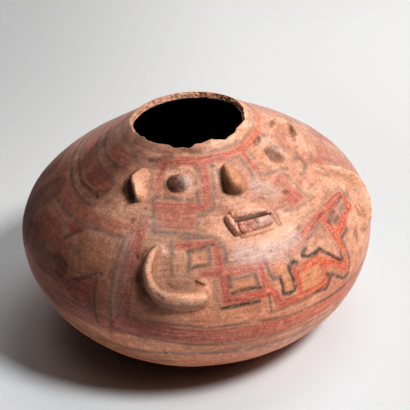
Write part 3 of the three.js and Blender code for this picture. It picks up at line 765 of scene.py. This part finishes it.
class Clay:
    """A block of samples over part of the wall, in which a laid-on piece of clay is shaped."""

    DEEP = 1.4  # how far a piece reaches into the wall, in millimetres
    SUNK = 0.16  # how much lower its smeared edge lies than the wall
    ROOM = 0.6  # how far beyond its smeared edge a piece is cut off
    WEB_END = 5  # how far a web runs on past the ends of its strip
    WEB_FACE = 3  # how far it reaches to the strip's other side

    def __init__(self, azimuths, drops, top, step):
        self.turn_step = step / degree_at((drops[0] + drops[1]) / 2)
        self.step = step
        self.azimuths = np.arange(*azimuths, self.turn_step)
        self.drops = np.arange(*drops, step)
        self.lifts = np.arange(-self.DEEP - 1.2 * step, top + 2 * step, step)
        self.azimuth, self.drop = np.meshgrid(self.azimuths, self.drops, indexing="ij")
        self.lift = self.lifts[None, None, :]

    def shell(self, flat, height, back):
        """The distance from a crowned shape that ends on the wall where flat is 1, and is as high as
        its height where flat is 0. It is rounder the larger back is."""
        field = (flat**back + (np.abs(self.lift) / height) ** back) ** (1 / back)
        steep = np.sqrt(sum(s**2 for s in np.gradient(field, self.step)))
        return (field - 1) / np.maximum(steep, 0.02)

    def along(self, stations, ends):
        """For each sample, against a strip's line: distance, side, its sizes there, the run past its
        ends and how far that end is rounded."""
        line, sizes = smooth_line(stations, ends)
        away, side, _, share = follow(self.azimuth, self.drop, line)
        i = np.clip(share.astype(int), 0, len(sizes) - 2)
        size = sizes[i] + (sizes[i + 1] - sizes[i]) * (share - i)[..., None]
        past = np.sqrt(np.clip(away**2 - side**2, 0, None))
        return away, side, size, past, np.where(share > 0.5 * len(sizes), ends[1], ends[0])

    def strip(self, stations, ends, back=2.0, lean=0.0):
        """A rolled strip along stations of (azimuth, drop, width, height), as a shape."""
        away, side, size, past, cap = self.along(stations, ends)
        half, height = size[..., 0] / 2, size[..., 1:2]
        across = side[..., None] - lean * np.clip(self.lift / height, 0, 1.2)
        flat = np.hypot(across / half[..., None], (past / cap)[..., None])
        return self.shell(flat, height, back), away - half

    def ridge(self, stations, ends, right_back, left_back):
        """A ridge along stations of (azimuth, drop, width to the right of its run, width to the left,
        height), as a shape. Each side is rounder the larger its back is."""
        away, side, size, past, cap = self.along(stations, ends)
        right = side > 0
        wide = np.where(right, size[..., 0], size[..., 1])
        back = np.where(right, right_back, left_back)[..., None]
        flat = np.hypot(side / wide, past / cap)
        return self.shell(flat[..., None], size[..., 2:3], back), away - wide

    def web(self, stations, ends, wide, rise, hand, bend):
        """The slope that runs down to the wall from a strip's crest, on one side of it, as a shape."""
        _, side, size, past, _ = self.along(stations, ends)
        inward = side * hand
        across = np.where(inward > 0, inward / wide, inward / self.WEB_FACE)
        share = np.hypot(across, past / self.WEB_END)
        slope = rise * size[..., -1] * np.clip(1 - share, 0, 1) ** bend - np.clip(share, 0, 1.5) ** 3
        steep = np.sqrt(1 + sum(s**2 for s in np.gradient(slope, self.step)))
        return (self.lift - slope[..., None]) / steep[..., None], (share - 1) * 7

    def from_place(self, place):
        """How far samples lie across and down from a place, in millimetres."""
        return apart(self.azimuth, place[0]) * degree_at(self.drop), self.drop - place[1]

    def dome(self, place, radii, height, back):
        """A pellet pressed on the wall at a place, as a shape."""
        across, down = self.from_place(place)
        away = np.hypot(across / radii[0], down / radii[1])
        return self.shell(away[..., None], height, back), (away - 1) * radii[0]

    def nick(self, place, lift, radius):
        """How far samples lie inside a ball at a place, to take out of a shape."""
        away = np.hypot(*self.from_place(place))
        return radius - np.hypot(away[..., None], self.lift - lift)

    def fire(self, name, shape, reach, nodes, grain):
        """Joins a shape to the wall by a smeared edge, roughens it and makes its piece."""
        body, flat = shape
        field = melt(body, np.broadcast_to(self.lift, body.shape), reach) + self.SUNK
        field = np.maximum(field, -(self.lift + self.DEEP))
        field = np.maximum(field, (flat - reach - self.ROOM)[..., None])
        points, faces = net(field)
        azimuth = self.azimuths[0] + points[:, 0] * self.turn_step
        drop = self.drops[0] + points[:, 1] * self.step
        above = self.lifts[0] + points[:, 2] * self.step
        place = turn(azimuth, *section(drop, above))
        raised = np.clip(above, 0, None)
        grains = rough(place, 7, 4.4) + 0.5 * rough(place, 2.6, 1.9)
        above = above + grain * np.clip(raised / 2, 0, 1) * grains
        piece = make_piece(name, on_wall(azimuth, drop, above), faces[:, ::-1].tolist(), nodes)
        paint(piece.data, azimuth, drop, raised)
        return piece


STATION_PARTS = 8  # how many parts a line has from one station to the next


def smooth_line(stations, ends):
    """Stations eased into a smooth line of places and of sizes, less the rounded ends."""
    p = np.array(stations, float)
    p = np.vstack([2 * p[0] - p[1], p, 2 * p[-1] - p[-2]])
    t = np.linspace(0, 1, STATION_PARTS, endpoint=False)[:, None]
    out = []
    for a, b, c, d in zip(p, p[1:], p[2:], p[3:]):
        curve = (c - a) * t + (2 * a - 5 * b + 4 * c - d) * t**2 + (3 * b - a - 3 * c + d) * t**3
        out.append(0.5 * (2 * b + curve))
    line = np.vstack(out + [p[-2][None]])
    across = np.diff(line[:, 0]) * degree_at(line[:-1, 1])
    run = np.r_[0, np.cumsum(np.hypot(across, np.diff(line[:, 1])))]
    first, last = (min(end, run[-1] * 0.4) for end in ends)
    places = np.linspace(first, run[-1] - last, len(line))
    line = np.stack([np.interp(places, run, column) for column in line.T], 1)
    return line[:, :2], line[:, 2:]


# Strips of clay: stations of (azimuth, drop, width, height)
NOSE = [
    (-0.2, 12.6, 5, 2.6), (-0.6, 18, 10, 7), (-0.9, 25, 15, 10.4), (-1.2, 32, 18.4, 12.6),
    (-1.6, 38, 19.4, 13), (-2, 42.8, 17, 10.6),
]
RIGHT_EAR = [
    (61, 19.5, 5, 2.4), (66.5, 20.6, 8, 4.4), (72, 23.5, 10, 5.6), (76, 29.5, 9, 5.6),
    (75.4, 35.5, 6.4, 5.2), (71.4, 40, 5, 5.2), (66, 42, 4.6, 4.6), (60, 42.4, 4.4, 3.6),
    (54.6, 41.4, 4.6, 2.2),
]
LEFT_THUMB = [
    (-27, 109.4, 2.8, 2.6), (-25.8, 109.8, 3.6, 3.2), (-24.7, 111.2, 3.6, 3.4), (-23.8, 113.4, 3, 3),
]
LEFT_ROD = [(-11.8, 58, 5.8, 4.6), (-11.1, 63.6, 6.4, 6.2), (-10.2, 70, 6, 6.4), (-9.2, 77.4, 5, 5.4)]
UPPER_LIP = [
    (-10.2, 58.8, 5.6, 3.6), (-6.4, 59.2, 7.6, 4.2), (-2.4, 60, 7.2, 4.3), (2, 61.6, 5.8, 4),
    (6.8, 64.8, 2.8, 2.6),
]
LOWER_LIP = [(-8.6, 78, 2.8, 1.5), (-1, 78.6, 3.2, 1.7), (6.8, 79.3, 2.8, 1.4)]
RIGHT_CORNER = [(8.4, 66.8, 4, 1.6), (8.9, 73, 4.6, 1.9), (8.4, 80, 3.6, 1.3)]
PLATE = [(-8.2, 70.8, 11.4, 1.8), (-0.6, 71.1, 11.4, 1.9), (6.8, 71.6, 10.6, 1.7)]
PLATE_SLAB = [(0.1, 70.2, 6, 2.8), (6.5, 70.7, 5.6, 2.8)]
# Ridges: stations of (azimuth, drop, width to the right of the run, width to the left, height)
LEFT_EAR = [
    (-58.4, 16.5, 2.6, 3.4, 2.6), (-60.2, 20.5, 3.2, 5.8, 7), (-61, 25.5, 3.8, 7.2, 10),
    (-60.4, 30.5, 3.8, 6.8, 10.6), (-58.2, 35, 3.6, 5.4, 10), (-56, 40, 3.4, 4.6, 8.8),
    (-54.2, 45.4, 3, 3.6, 5.4),
]
LEFT_ARM = [
    (-39.6, 80, 3.4, 3, 2.4), (-40.9, 85, 4.6, 4, 6.6), (-42, 90.5, 5.2, 4.4, 8.8),
    (-42.6, 96.5, 5.6, 4.4, 9.6), (-42.7, 103, 6, 4.4, 10), (-42.1, 108.6, 6.4, 4.6, 10),
    (-40.9, 114, 7, 5, 9.8), (-39, 118.8, 8, 5.6, 9.4), (-36, 121.8, 9, 6, 8.8),
    (-32.4, 122.5, 9.8, 6, 8.4), (-28.8, 122.6, 9.6, 6.6, 8.2), (-25.6, 122.6, 8.4, 8, 8),
    (-22.8, 122.6, 6, 7, 6.4),
]
RIGHT_ARM = [
    (50, 68, 3, 3, 2.4), (52, 74.5, 4, 3.4, 5.8), (54, 82.5, 5, 4, 8), (55.6, 91, 5.4, 4.4, 9.2),
    (57, 100, 5.6, 4.6, 9.8), (57, 109.5, 6, 4.8, 9.6), (55.2, 118.5, 6.4, 5.4, 8.8),
    (51.6, 125.5, 7, 6.4, 7.4), (47, 129.6, 7.4, 7, 6.2), (42.4, 131, 6.6, 6.4, 4.8),
]
# Nicks in the left arm: place, lift and radius
NICKS = [((-38.6, 121), 10.2, 2), ((-37.4, 123.2), 9.8, 1.8), ((-24.6, 127.2), 8.6, 1.3)]
# The blocks that strips are shaped in: azimuths, drops, height and step
NOSE_BLOCK = (-14, 11), (6, 58), 15, 0.6
RIGHT_EAR_BLOCK = (50, 90), (8, 54), 9, 0.7
MOUTH_BLOCK = (-15, 14), (50, 86), 8, 0.55


def strip_piece(name, node, block, strips, reach, grain=0.25, smear=0.0):
    """A piece of a strip or two, with their ends, section and lean, smeared upwards as is asked."""
    clay = Clay(*block)
    shape = clay.strip(*strips[0])
    for other in strips[1:]:
        shape = join(shape, clay.strip(*other), 0.8)
    if smear:
        shape = join(shape, clay.web(*strips[0][:2], smear, 0.8, -1, 1.6), 1.2)
    return clay.fire(name, shape, reach, [node], grain)


def mouth_piece(name, node, strips, reach, grain, smear=0.0):
    """One of the mouth's pieces, all shaped in the same block."""
    return strip_piece(name, node, MOUTH_BLOCK, strips, reach, grain, smear)


def eye_piece(name, node, place, radii, height):
    """An eye: a pellet pressed on the wall, in a block with room round it."""
    room = (radii[0] + 5) / degree_at(place[1])
    clay = Clay((place[0] - room, place[0] + room), (place[1] - 16, place[1] + 16), 7, 0.6)
    return clay.fire(name, clay.dome(place, radii, height, 2.2), 1.6, [node], 0.6)


def left_ear_piece():
    """The left ear: a pinched ridge."""
    clay = Clay((-76, -40), (4, 58), 13, 0.7)
    shape = clay.ridge(LEFT_EAR, (4, 4), 2.2, 1.4)
    return clay.fire("left_ear_lug", shape, 2.6, ["left_ear"], 0.8)


def left_arm_piece():
    """The left arm: a coil with a hollow slope to the wall inside its bend, and a hand with a thumb."""
    clay = Clay((-58, -12), (66, 144), 12, 0.95)
    shape = join(clay.ridge(LEFT_ARM, (6, 6), 1.7, 1.8), clay.web(LEFT_ARM, (6, 6), 17, 0.46, -1, 1.6), 3)
    body, flat = join(shape, clay.strip(LEFT_THUMB, (1.5, 1.5)), 2.2)
    for nick in NICKS:
        body = np.maximum(body, clay.nick(*nick))
    return clay.fire("left_arm_coil", (body, flat), 2, ["left_arm", "left_hand"], 0.4)


def right_arm_piece():
    """The right arm: a worn ridge, with a hollow slope to the wall inside its bend."""
    clay = Clay((28, 70), (54, 150), 12, 1)
    shape = join(clay.ridge(RIGHT_ARM, (6, 6), 1.4, 1.8), clay.web(RIGHT_ARM, (6, 6), 17, 0.5, 1, 1.5), 2.5)
    return clay.fire("right_arm_coil", shape, 2.6, ["right_arm", "right_hand"], 1.3)


class Value:
    """A number that changes over a surface: sums on it add Math nodes to its material."""

    def __init__(self, finish, socket):
        self.finish, self.socket = finish, socket

    def sum(self, operation, *terms):
        return self.finish.node("Math", {"operation": operation}, dict(enumerate(terms)))

    def __add__(self, other):
        return self.sum("ADD", self, other)

    def __mul__(self, other):
        return self.sum("MULTIPLY", self, other)

    def __sub__(self, other):
        return self.sum("SUBTRACT", self, other)

    def __rsub__(self, other):
        return self.sum("SUBTRACT", other, self)

    __radd__, __rmul__ = __add__, __mul__

    def clear(self):
        """Kept from 0 to 1."""
        return self.finish.node("Clamp", {}, {0: self})

    def swing(self, size):
        """Noise about its middle, so that it adds and takes away alike."""
        return (self - 0.5) * size

    def between(self, low, high):
        """0 at and under low, 1 at and over high, and eased from one to the other."""
        settings = {"interpolation_type": "SMOOTHSTEP"}
        return self.finish.node("MapRange", settings, {0: self, 1: low, 2: high, 3: 0.0, 4: 1.0})


class Finish:
    """A material, and the one way that nodes are added to it."""

    def __init__(self, name):
        self.material = bpy.data.materials.new(name)
        self.material.use_nodes = True
        self.tree = self.material.node_tree
        self.tree.nodes.clear()
        self.kept = {}

    def node(self, kind, settings, sockets, output=0):
        """A node of a kind, with its settings first and then the values or links of its sockets."""
        node = self.tree.nodes.new("ShaderNode" + kind)
        for setting, value in settings.items():
            setattr(node, setting, value)
        for place, value in sockets.items():
            socket = node.inputs[place]
            if isinstance(value, Value):
                self.tree.links.new(value.socket, socket)
            else:
                socket.default_value = value
        return Value(self, node.outputs[output])

    def once(self, name, *node):
        """A node that is added when it is first asked for."""
        if name not in self.kept:
            self.kept[name] = self.node(*node)
        return self.kept[name]

    def read(self, name):
        """A number stored on the mesh."""
        settings = {"attribute_type": "GEOMETRY", "attribute_name": name}
        return self.once(name, "Attribute", settings, {}, "Fac")

    def place(self):
        return self.once("place", "TexCoord", {}, {}, "Object")

    def sideways(self):
        """The surface's place from left to right."""
        return self.once("sideways", "SeparateXYZ", {}, {0: self.place()}, "X")

    def stretched(self, across, up):
        """The surface's place, scaled level and upwards, so that noise on it runs level."""
        sockets = {0: self.place(), 1: (across, across, up)}
        return self.node("VectorMath", {"operation": "MULTIPLY"}, sockets)

    def noise(self, scale, detail, roughness=0.55, vector=None):
        sockets = {"Vector": vector or self.place(), "Scale": scale, "Detail": detail}
        return self.node("TexNoise", {}, sockets | {"Roughness": roughness}, "Fac")

    def length(self, vector):
        return self.node("VectorMath", {"operation": "LENGTH"}, {0: vector}, "Value")

    def tint(self, mask, one, other):
        """One colour where a mask is 0 and the other where it is 1."""
        return self.node("Mix", {"data_type": "RGBA"}, {0: mask, 6: one, 7: other}, 2)

    def multiply(self, mask, one, other):
        """A colour, multiplied by another as far as a mask says."""
        settings = {"data_type": "RGBA", "blend_type": "MULTIPLY"}
        return self.node("Mix", settings, {0: mask, 6: one, 7: other}, 2)

    def bump(self, height, distance, under=None):
        sockets = {"Strength": 1.0, "Distance": distance, "Height": height}
        return self.node("Bump", {}, sockets | ({"Normal": under} if under else {}))

    def finish(self, colour, roughness, normal=None, clear_back=False):
        """The finished material, which can be see-through from behind."""
        sockets = {"Base Color": colour, "Roughness": roughness, "Specular IOR Level": 0.22}
        shader = self.node("BsdfPrincipled", {}, sockets | ({"Normal": normal} if normal else {}))
        if clear_back:
            behind = self.node("NewGeometry", {}, {}, "Backfacing")
            clear = self.node("BsdfTransparent", {}, {})
            shader = self.node("MixShader", {}, {0: behind, 1: shader, 2: clear})
        output = self.tree.nodes.new("ShaderNodeOutputMaterial")
        self.tree.links.new(shader.socket, output.inputs["Surface"])
        return self.material


def tone(red_part, green_part, blue_part):
    """A colour from the eye's scale of 0 to 255, as the shader needs it."""
    shares = (part / 255 for part in (red_part, green_part, blue_part))
    return *(s / 12.92 if s <= 0.04045 else ((s + 0.055) / 1.055) ** 2.4 for s in shares), 1.0


def painted_clay(name, bare_gain=0.0, paint_gain=1.0, shift=None, crest_lifts=(4.5, 7.5)):
    """Burnished slip with its paint, wear and soot, and painted light and shade, from the numbers stored on
    the mesh. A laid-on piece may be rubbed bare on its crest, have less paint, and shift towards a colour
    of its own."""
    f = Finish(name)
    broad, middle, mottle = f.noise(16, 3), f.noise(55, 4), f.noise(95, 6, 0.75)
    fine, grit, grain = f.noise(170, 5, 0.7), f.noise(330, 4, 0.7), f.noise(720, 2, 0.7)
    level = f.noise(1, 3, 0.6, f.stretched(14, 260))
    strokes = f.noise(1, 3, 0.6, f.stretched(60, 800))
    drop, raised = f.read("drop"), f.read("raised")

    def laid(kind, edge, empty, full):
        """How much of a kind of paint there is, with an edge that noise makes ragged."""
        return (f.read(kind) + edge).between(empty, full) * f.read(kind + "_strength")

    # bare slip: paler and pinker high up, more orange under the belly, streaked level by the pebble
    clay = f.tint(broad.between(0.35, 0.66), tone(190, 128, 103), tone(214, 156, 128))
    low = f.tint(broad.between(0.35, 0.66), tone(224, 132, 94), tone(240, 156, 116))
    clay = f.tint(drop.between(100, 170) * 0.85, clay, low)
    clay = f.tint(mottle.between(0.46, 0.68) * 0.5, clay, tone(156, 94, 72))
    clay = f.tint(fine.between(0.52, 0.7) * 0.42, clay, tone(236, 172, 142))
    clay = f.tint(level.between(0.5, 0.72) * 0.3, clay, tone(150, 88, 68))
    worn = laid("bare", broad.swing(16) + fine.swing(8), -5, 4)
    if bare_gain:
        # a laid-on piece is rubbed pale on its crest and stays brown on its sides
        crest = (raised + middle.swing(5) + fine.swing(3)).between(*crest_lifts)
        worn = (worn * 0.8 + crest * bare_gain).clear()
        side = f.tint(fine.between(0.42, 0.62), tone(190, 132, 97), tone(152, 98, 68))
        clay = f.tint(raised.between(0.6, 2.4) * 0.7, clay, side)
    pale = f.tint(middle.between(0.4, 0.65), tone(250, 190, 158), tone(220, 154, 120))
    clay = f.tint(worn * 0.8, clay, pale)

    # red paint, dragged along its bands: warmer at the right of the belly, pinker on the cheeks
    ragged = fine.swing(7) + middle.swing(5) + grit.swing(6) + grain.swing(2.5)
    along = f.node("CombineXYZ", {}, {0: f.read("red_side") * 0.9, 1: f.read("red_run") * 0.035, 2: broad})
    dragged = f.noise(1, 2, 0.6, along)
    streaks = dragged.between(0.3, 0.62)
    red_wear = 1 - middle.between(0.5, 0.78) * 0.55
    red_wear = red_wear * (1 - dragged.between(0.52, 0.66) * 0.36) * (1 - grit.between(0.46, 0.66) * 0.5)
    red_wear = red_wear * (1 - mottle.between(0.5, 0.7) * 0.35)
    coat = f.tint(streaks, tone(148, 58, 53), tone(190, 90, 80))
    warm = f.sideways().between(-0.06, 0.05) * (drop.between(84, 122) + drop.between(15, 8)).clear()
    coat = f.tint(warm, coat, f.tint(streaks, tone(178, 66, 46), tone(224, 100, 66)))
    blush = drop.between(96, 66) * drop.between(8, 16) * f.sideways().between(-0.09, 0.05)
    coat = f.tint(blush * 0.6, coat, tone(206, 112, 100))
    keep = paint_gain * (1 - worn * 0.55)
    colour = f.tint((laid("red", ragged, -1, 1) * red_wear * keep).clear(), clay, coat)
    ochre = f.tint(middle, tone(206, 124, 76), tone(220, 146, 100))
    colour = f.tint((laid("orange", ragged * 0.7, -0.8, 0.8) * keep * 0.8).clear(), colour, ochre)

    # dark lines: a grey wash where faint, near black where strong
    strength = f.read("line_strength")
    broken = 1 - fine.between(0.5, 0.7) * 0.45 - middle.between(0.52, 0.68) * 0.35
    broken = broken - grit.between(0.5, 0.64) * 0.35
    line_mask = (f.read("line") + ragged * 0.7).between(-1.5, 1.3) * broken * (strength + 0.12) * keep
    wash = f.tint(strength.between(0.35, 0.95), tone(120, 112, 102), tone(60, 48, 44))
    colour = f.tint(line_mask.clear(), colour, wash)
    if shift:
        mask, other = shift(f, raised, middle, fine)
        colour = f.tint(mask, colour, other)

    # a grey bloom with painted sheen and highlights, soot with painted shade, dark specks, the painted
    # shade over the left flank and in gaps
    colour = f.tint(laid("haze", middle.swing(10), -5, 5) * 0.55, colour, tone(214, 187, 175))
    colour = f.tint(laid("soot", middle.swing(4), -2, 2) * 0.75, colour, tone(76, 42, 30))
    specks = f.node("TexVoronoi", {}, {"Vector": f.place(), "Scale": 230.0, "Randomness": 1.0}, "Distance")
    specks = (1 - specks.between(0.08, 0.2)) * middle.between(0.5, 0.62)
    colour = f.tint(specks * 0.6, colour, tone(78, 48, 38))
    colour = f.tint(grit.between(0.5, 0.68) * 0.3, colour, tone(136, 96, 78))
    # painted shade over the left flank and under the left arm, kept off the break
    shaded_flank = laid("veil", broad.swing(36) + middle.swing(10), -22, 18) * (1 - f.read("raw") * 0.8)
    colour = f.tint(shaded_flank * 0.64, colour, tone(68, 22, 10))
    light = 1 + grain.swing(1.35) + fine.swing(1.1) + grit.swing(0.7) + strokes.swing(0.9)
    colour = f.multiply(1.0, colour, f.node("CombineColor", {}, {0: light, 1: light, 2: light}))
    # painted shade, near black, in gaps, hollows and creases and beside the left ear
    colour = f.tint(laid("dark", fine.swing(1.4), -0.5, 0.5) * 0.9, colour, tone(50, 22, 14))
    # painted shade: the inside is coloured near black, standing in for the shade inside the vessel
    colour = f.tint(f.read("inside"), colour, tone(20, 15, 13))

    roughness = 0.39 + middle.swing(0.2) + worn * 0.14 + line_mask * 0.08
    roughness = roughness + strokes.swing(0.12) + shaded_flank * 0.3
    normal = f.bump(level * 0.6 + strokes * 0.4, 0.00012)
    normal = f.bump(fine * 0.8 + middle * 1.6 - specks * 0.8, 0.0003, normal)
    normal = f.bump(grain + grit, 0.00012, normal)
    return f.finish(colour, (roughness + f.read("inside") * 0.4).clear(), normal)


# Each piece's own colour: a mask of where it goes, and the colour
def broken_face(f, raised, middle, fine):
    """The rough pale clay of the break."""
    stain = f.tint(fine.between(0.35, 0.62), tone(230, 178, 146), tone(184, 122, 92))
    return f.read("raw"), f.tint(middle.between(0.58, 0.7) * 0.6, stain, tone(132, 78, 56))


def dark_pellet(f, raised, middle, fine):
    """Grey brown on the pellet itself, with a pale bloom that also paints a highlight on its lit side."""
    stain = f.tint(fine.between(0.46, 0.66), tone(92, 64, 52), tone(158, 118, 100))
    sheen_and_bloom = (f.read("haze") + middle.swing(8)).between(-3, 3)
    return raised.between(0.6, 2.4) * 0.85, f.tint(sheen_and_bloom * 0.8, stain, tone(188, 144, 128))


def pale_pellet(f, raised, middle, fine):
    """Grey pink on the worn right pellet."""
    stain = f.tint(fine.between(0.46, 0.66), tone(178, 130, 110), tone(212, 160, 138))
    return raised.between(0.8, 3.4) * 0.55, stain


def brown_ridge(f, raised, middle, fine):
    """Brown clay along the nose."""
    stain = f.tint(fine.between(0.4, 0.7), tone(204, 138, 98), tone(176, 112, 78))
    return raised.between(0.8, 3) * 0.75, stain


def pale_lip(f, raised, middle, fine):
    """Rubbed pinkish clay along the lips, brown where they leave the wall."""
    stain = f.tint(fine.between(0.44, 0.62), tone(244, 190, 164), tone(190, 126, 100))
    return (raised + middle.swing(3)).between(0.6, 3) * 0.8, stain


def rubbed_crest(f, raised, middle, fine):
    """Pale peach along the left arm, where it has been handled."""
    stain = f.tint(fine.between(0.44, 0.64), tone(255, 197, 166), tone(252, 166, 130))
    return (raised + middle.swing(3)).between(5.2, 8.2) * 0.9, stain


def sandy_crest(f, raised, middle, fine):
    """Orange brown blotches over the right arm."""
    stain = f.tint(fine.between(0.42, 0.6), tone(228, 168, 128), tone(182, 126, 96))
    return middle.between(0.48, 0.62) * raised.between(0.5, 2.5) * 0.65, stain


def red_plate(f, raised, middle, fine):
    """Dull red on the plate in the mouth, with a pale bloom at its right that also paints light there."""
    stain = f.tint(fine.between(0.46, 0.62), tone(160, 84, 68), tone(206, 138, 112))
    sheen_and_bloom = f.read("haze").between(-1, 1) * 0.7
    return raised.between(0.3, 1) * 0.8, f.tint(sheen_and_bloom, stain, tone(228, 168, 148))


ear_clay = painted_clay("ear_clay", 0.55, 0.4, crest_lifts=(0.5, 3.5))
lip_clay = painted_clay("lip_clay", 0.4, 0.3, pale_lip)
# Strips as pieces take them: stations, how far their ends are rounded, their back and their lean
nose_strips = [(NOSE, (5, 7), 1.6, 4)]
right_ear_strips = [(RIGHT_EAR, (4, 4), 1.9, -0.8)]
upper_lip_strips = [(UPPER_LIP, (1.5, 2.5), 2.2)]
left_rod_strips = [(LEFT_ROD, (2.4, 2.4), 2.2)]
plate_strips = [(PLATE, (1.6, 1.6), 3), (PLATE_SLAB, (1.4, 1.4), 2.6)]
for piece, material in [
    (wall_piece(), painted_clay("burnished_painted_clay")),
    (neck_piece(), painted_clay("neck_and_break", shift=broken_face)),
    (
        strip_piece("nose_ridge", "nose", NOSE_BLOCK, nose_strips, 1.8),
        painted_clay("nose_clay", 0.2, 0.5, brown_ridge),
    ),
    (
        eye_piece("left_eye_pellet", "left_eye", (-34.4, 25), (10.2, 8.6), 5.2),
        painted_clay("eye_clay", 0.3, 0.5, dark_pellet),
    ),
    (
        eye_piece("right_eye_pellet", "right_eye", (37.2, 28), (10.4, 10), 4),
        painted_clay("worn_eye_clay", 0.3, 0.5, pale_pellet),
    ),
    (left_ear_piece(), ear_clay),
    (
        strip_piece("right_ear_lug", "right_ear", RIGHT_EAR_BLOCK, right_ear_strips, 2.6, 0.7),
        ear_clay,
    ),
    (mouth_piece("upper_lip_strip", "mouth_upper_lip", upper_lip_strips, 1.2, 0.8, 8), lip_clay),
    (mouth_piece("right_mouth_corner", "mouth_right_corner", [(RIGHT_CORNER, (2, 2))], 2.6, 0.5), lip_clay),
    (mouth_piece("lower_lip_strip", "mouth_lower_lip", [(LOWER_LIP, (1.5, 1.5))], 2, 0.5), lip_clay),
    (mouth_piece("left_mouth_corner", "mouth_left_corner", left_rod_strips, 0.9, 0.7), lip_clay),
    (
        mouth_piece("mouth_plate_clay", "mouth_plate", plate_strips, 0.7, 0.6),
        painted_clay("mouth_plate_finish", 0.2, 0.6, red_plate),
    ),
    (left_arm_piece(), painted_clay("laid_on_clay", 1, 0.6, rubbed_crest, (5.6, 9))),
    (right_arm_piece(), painted_clay("worn_arm_clay", 1, 0.6, sandy_crest)),
]:
    piece.data.materials.append(material)


# Camera: the photograph's view, worked out from the vessel's outline
VIEW_AZIMUTH = -25.0
VIEW_HEIGHT = 32.06
VIEW_ROLL = -4.857
VIEW_DISTANCE = 1.3
VIEW_AIM = Vector((0.00678, -0.00316, 0.1056))
VIEW_LENS = 124.68


def direction(azimuth, height):
    """The direction of something seen from the vessel at an azimuth and a height in degrees."""
    a, e = azimuth * DEGREE, height * DEGREE
    return Vector((math.sin(a) * math.cos(e), -math.cos(a) * math.cos(e), math.sin(e)))


def set_camera():
    back = direction(VIEW_AZIMUTH, VIEW_HEIGHT)
    a, roll = VIEW_AZIMUTH * DEGREE, VIEW_ROLL * DEGREE
    right = Vector((math.cos(a), math.sin(a), 0))
    up = back.cross(right)
    across = math.cos(roll) * right + math.sin(roll) * up
    above = -math.sin(roll) * right + math.cos(roll) * up
    data = bpy.data.cameras.new("camera")
    data.lens, data.sensor_width, data.clip_end = VIEW_LENS, 36, 20
    camera = put("camera", data)
    matrix = Matrix((across, above, back)).transposed().to_4x4()
    matrix.translation = VIEW_AIM + VIEW_DISTANCE * back
    camera.matrix_world = matrix
    bpy.context.scene.camera = camera


def set_lamp(name, azimuth, height, distance, size, power, colour):
    data = bpy.data.lights.new(name, "AREA")
    data.shape, data.size, data.energy, data.color = "DISK", size, power, colour
    lamp = put(name, data)
    lamp.location = VIEW_AIM + distance * direction(azimuth, height)
    lamp.rotation_euler = direction(azimuth, height).to_track_quat("Z", "Y").to_euler()


# The paper sweep, in metres along the view: the bend's radius, the wall's distance and height,
# half the paper's width, and how many columns of points it has
BEND, WALL_BACK, WALL_TOP, HALF_WIDTH, SWEEP_COLUMNS = 0.5, 1.3, 2.4, 2.6, 13


def set_sweep():
    """A paper sweep: a floor that curves up behind the vessel."""
    floor_end = WALL_BACK - BEND
    profile = [(-2.4, 0), (-0.6, 0), (0.4, 0), (floor_end, 0)]
    for t in np.linspace(0.1, math.pi / 2, 14):
        profile.append((floor_end + BEND * math.sin(t), BEND - BEND * math.cos(t)))
    profile.append((WALL_BACK, WALL_TOP))
    cos, sin = math.cos(VIEW_AZIMUTH * DEGREE), math.sin(VIEW_AZIMUTH * DEGREE)
    points, faces = [], []
    for along, height in profile:
        for across in np.linspace(-HALF_WIDTH, HALF_WIDTH, SWEEP_COLUMNS):
            points.append((across * cos - along * sin, across * sin + along * cos, height))
    for i in range(len(profile) - 1):
        for j in range(i * SWEEP_COLUMNS, (i + 1) * SWEEP_COLUMNS - 1):
            faces.append((j, j + 1, j + SWEEP_COLUMNS + 1, j + SWEEP_COLUMNS))
    sweep = put("paper_sweep", smooth_mesh("paper_sweep", points, faces))

    f = Finish("pale_paper")
    x, y, height = (f.node("SeparateXYZ", {}, {0: f.place()}, axis) for axis in "XYZ")
    along, across = y * cos - x * sin, x * cos + y * sin
    # painted light and shade on the paper: its tone is made lighter and darker in places to match how the
    # lamps fall on it
    near = f.tint(f.noise(3, 2), tone(224, 225, 226), tone(228, 229, 230))
    near = f.tint(across.between(0.04, 0.2), near, tone(212, 213, 213))
    far = f.tint(across.between(-0.26, 0.1), tone(208, 209, 211), tone(234, 235, 235))
    paper = f.tint(along.between(0, 0.6), near, far)
    paper = f.tint(height.between(0.02, 0.3), paper, tone(236, 236, 235))
    # cooler near the vessel, which throws warm light on the paper, and a painted contact shadow right under
    # it
    paper = f.multiply(f.length(f.place()).between(0.34, 0.14), paper, (0.985, 1.045, 1.085, 1))
    from_painted_shadow = f.node("VectorMath", {"operation": "ADD"}, {0: f.place(), 1: (0.036, 0.006, 0)})
    paper = f.tint(f.length(from_painted_shadow).between(0.14, 0.09) * 0.85, paper, tone(84, 64, 58))
    # seen from behind, the paper doesn't hide the vessel
    sweep.data.materials.append(f.finish(paper, 0.7, clear_back=True))


def set_world():
    world = bpy.data.worlds.new("room")
    bpy.context.scene.world = world
    world.use_nodes = True
    background = world.node_tree.nodes["Background"]
    background.inputs["Color"].default_value = (1.0, 0.98, 0.95, 1)
    background.inputs["Strength"].default_value = 0.035


set_camera()
set_sweep()
set_world()
set_lamp("key_softbox", 34, 50, 1.8, 0.44, 33.8, (1.0, 0.985, 0.965))
set_lamp("high_fill", 112, 62, 1.7, 1.2, 9.0, (1.0, 0.99, 0.98))
bpy.context.scene.view_settings.view_transform = "Standard"
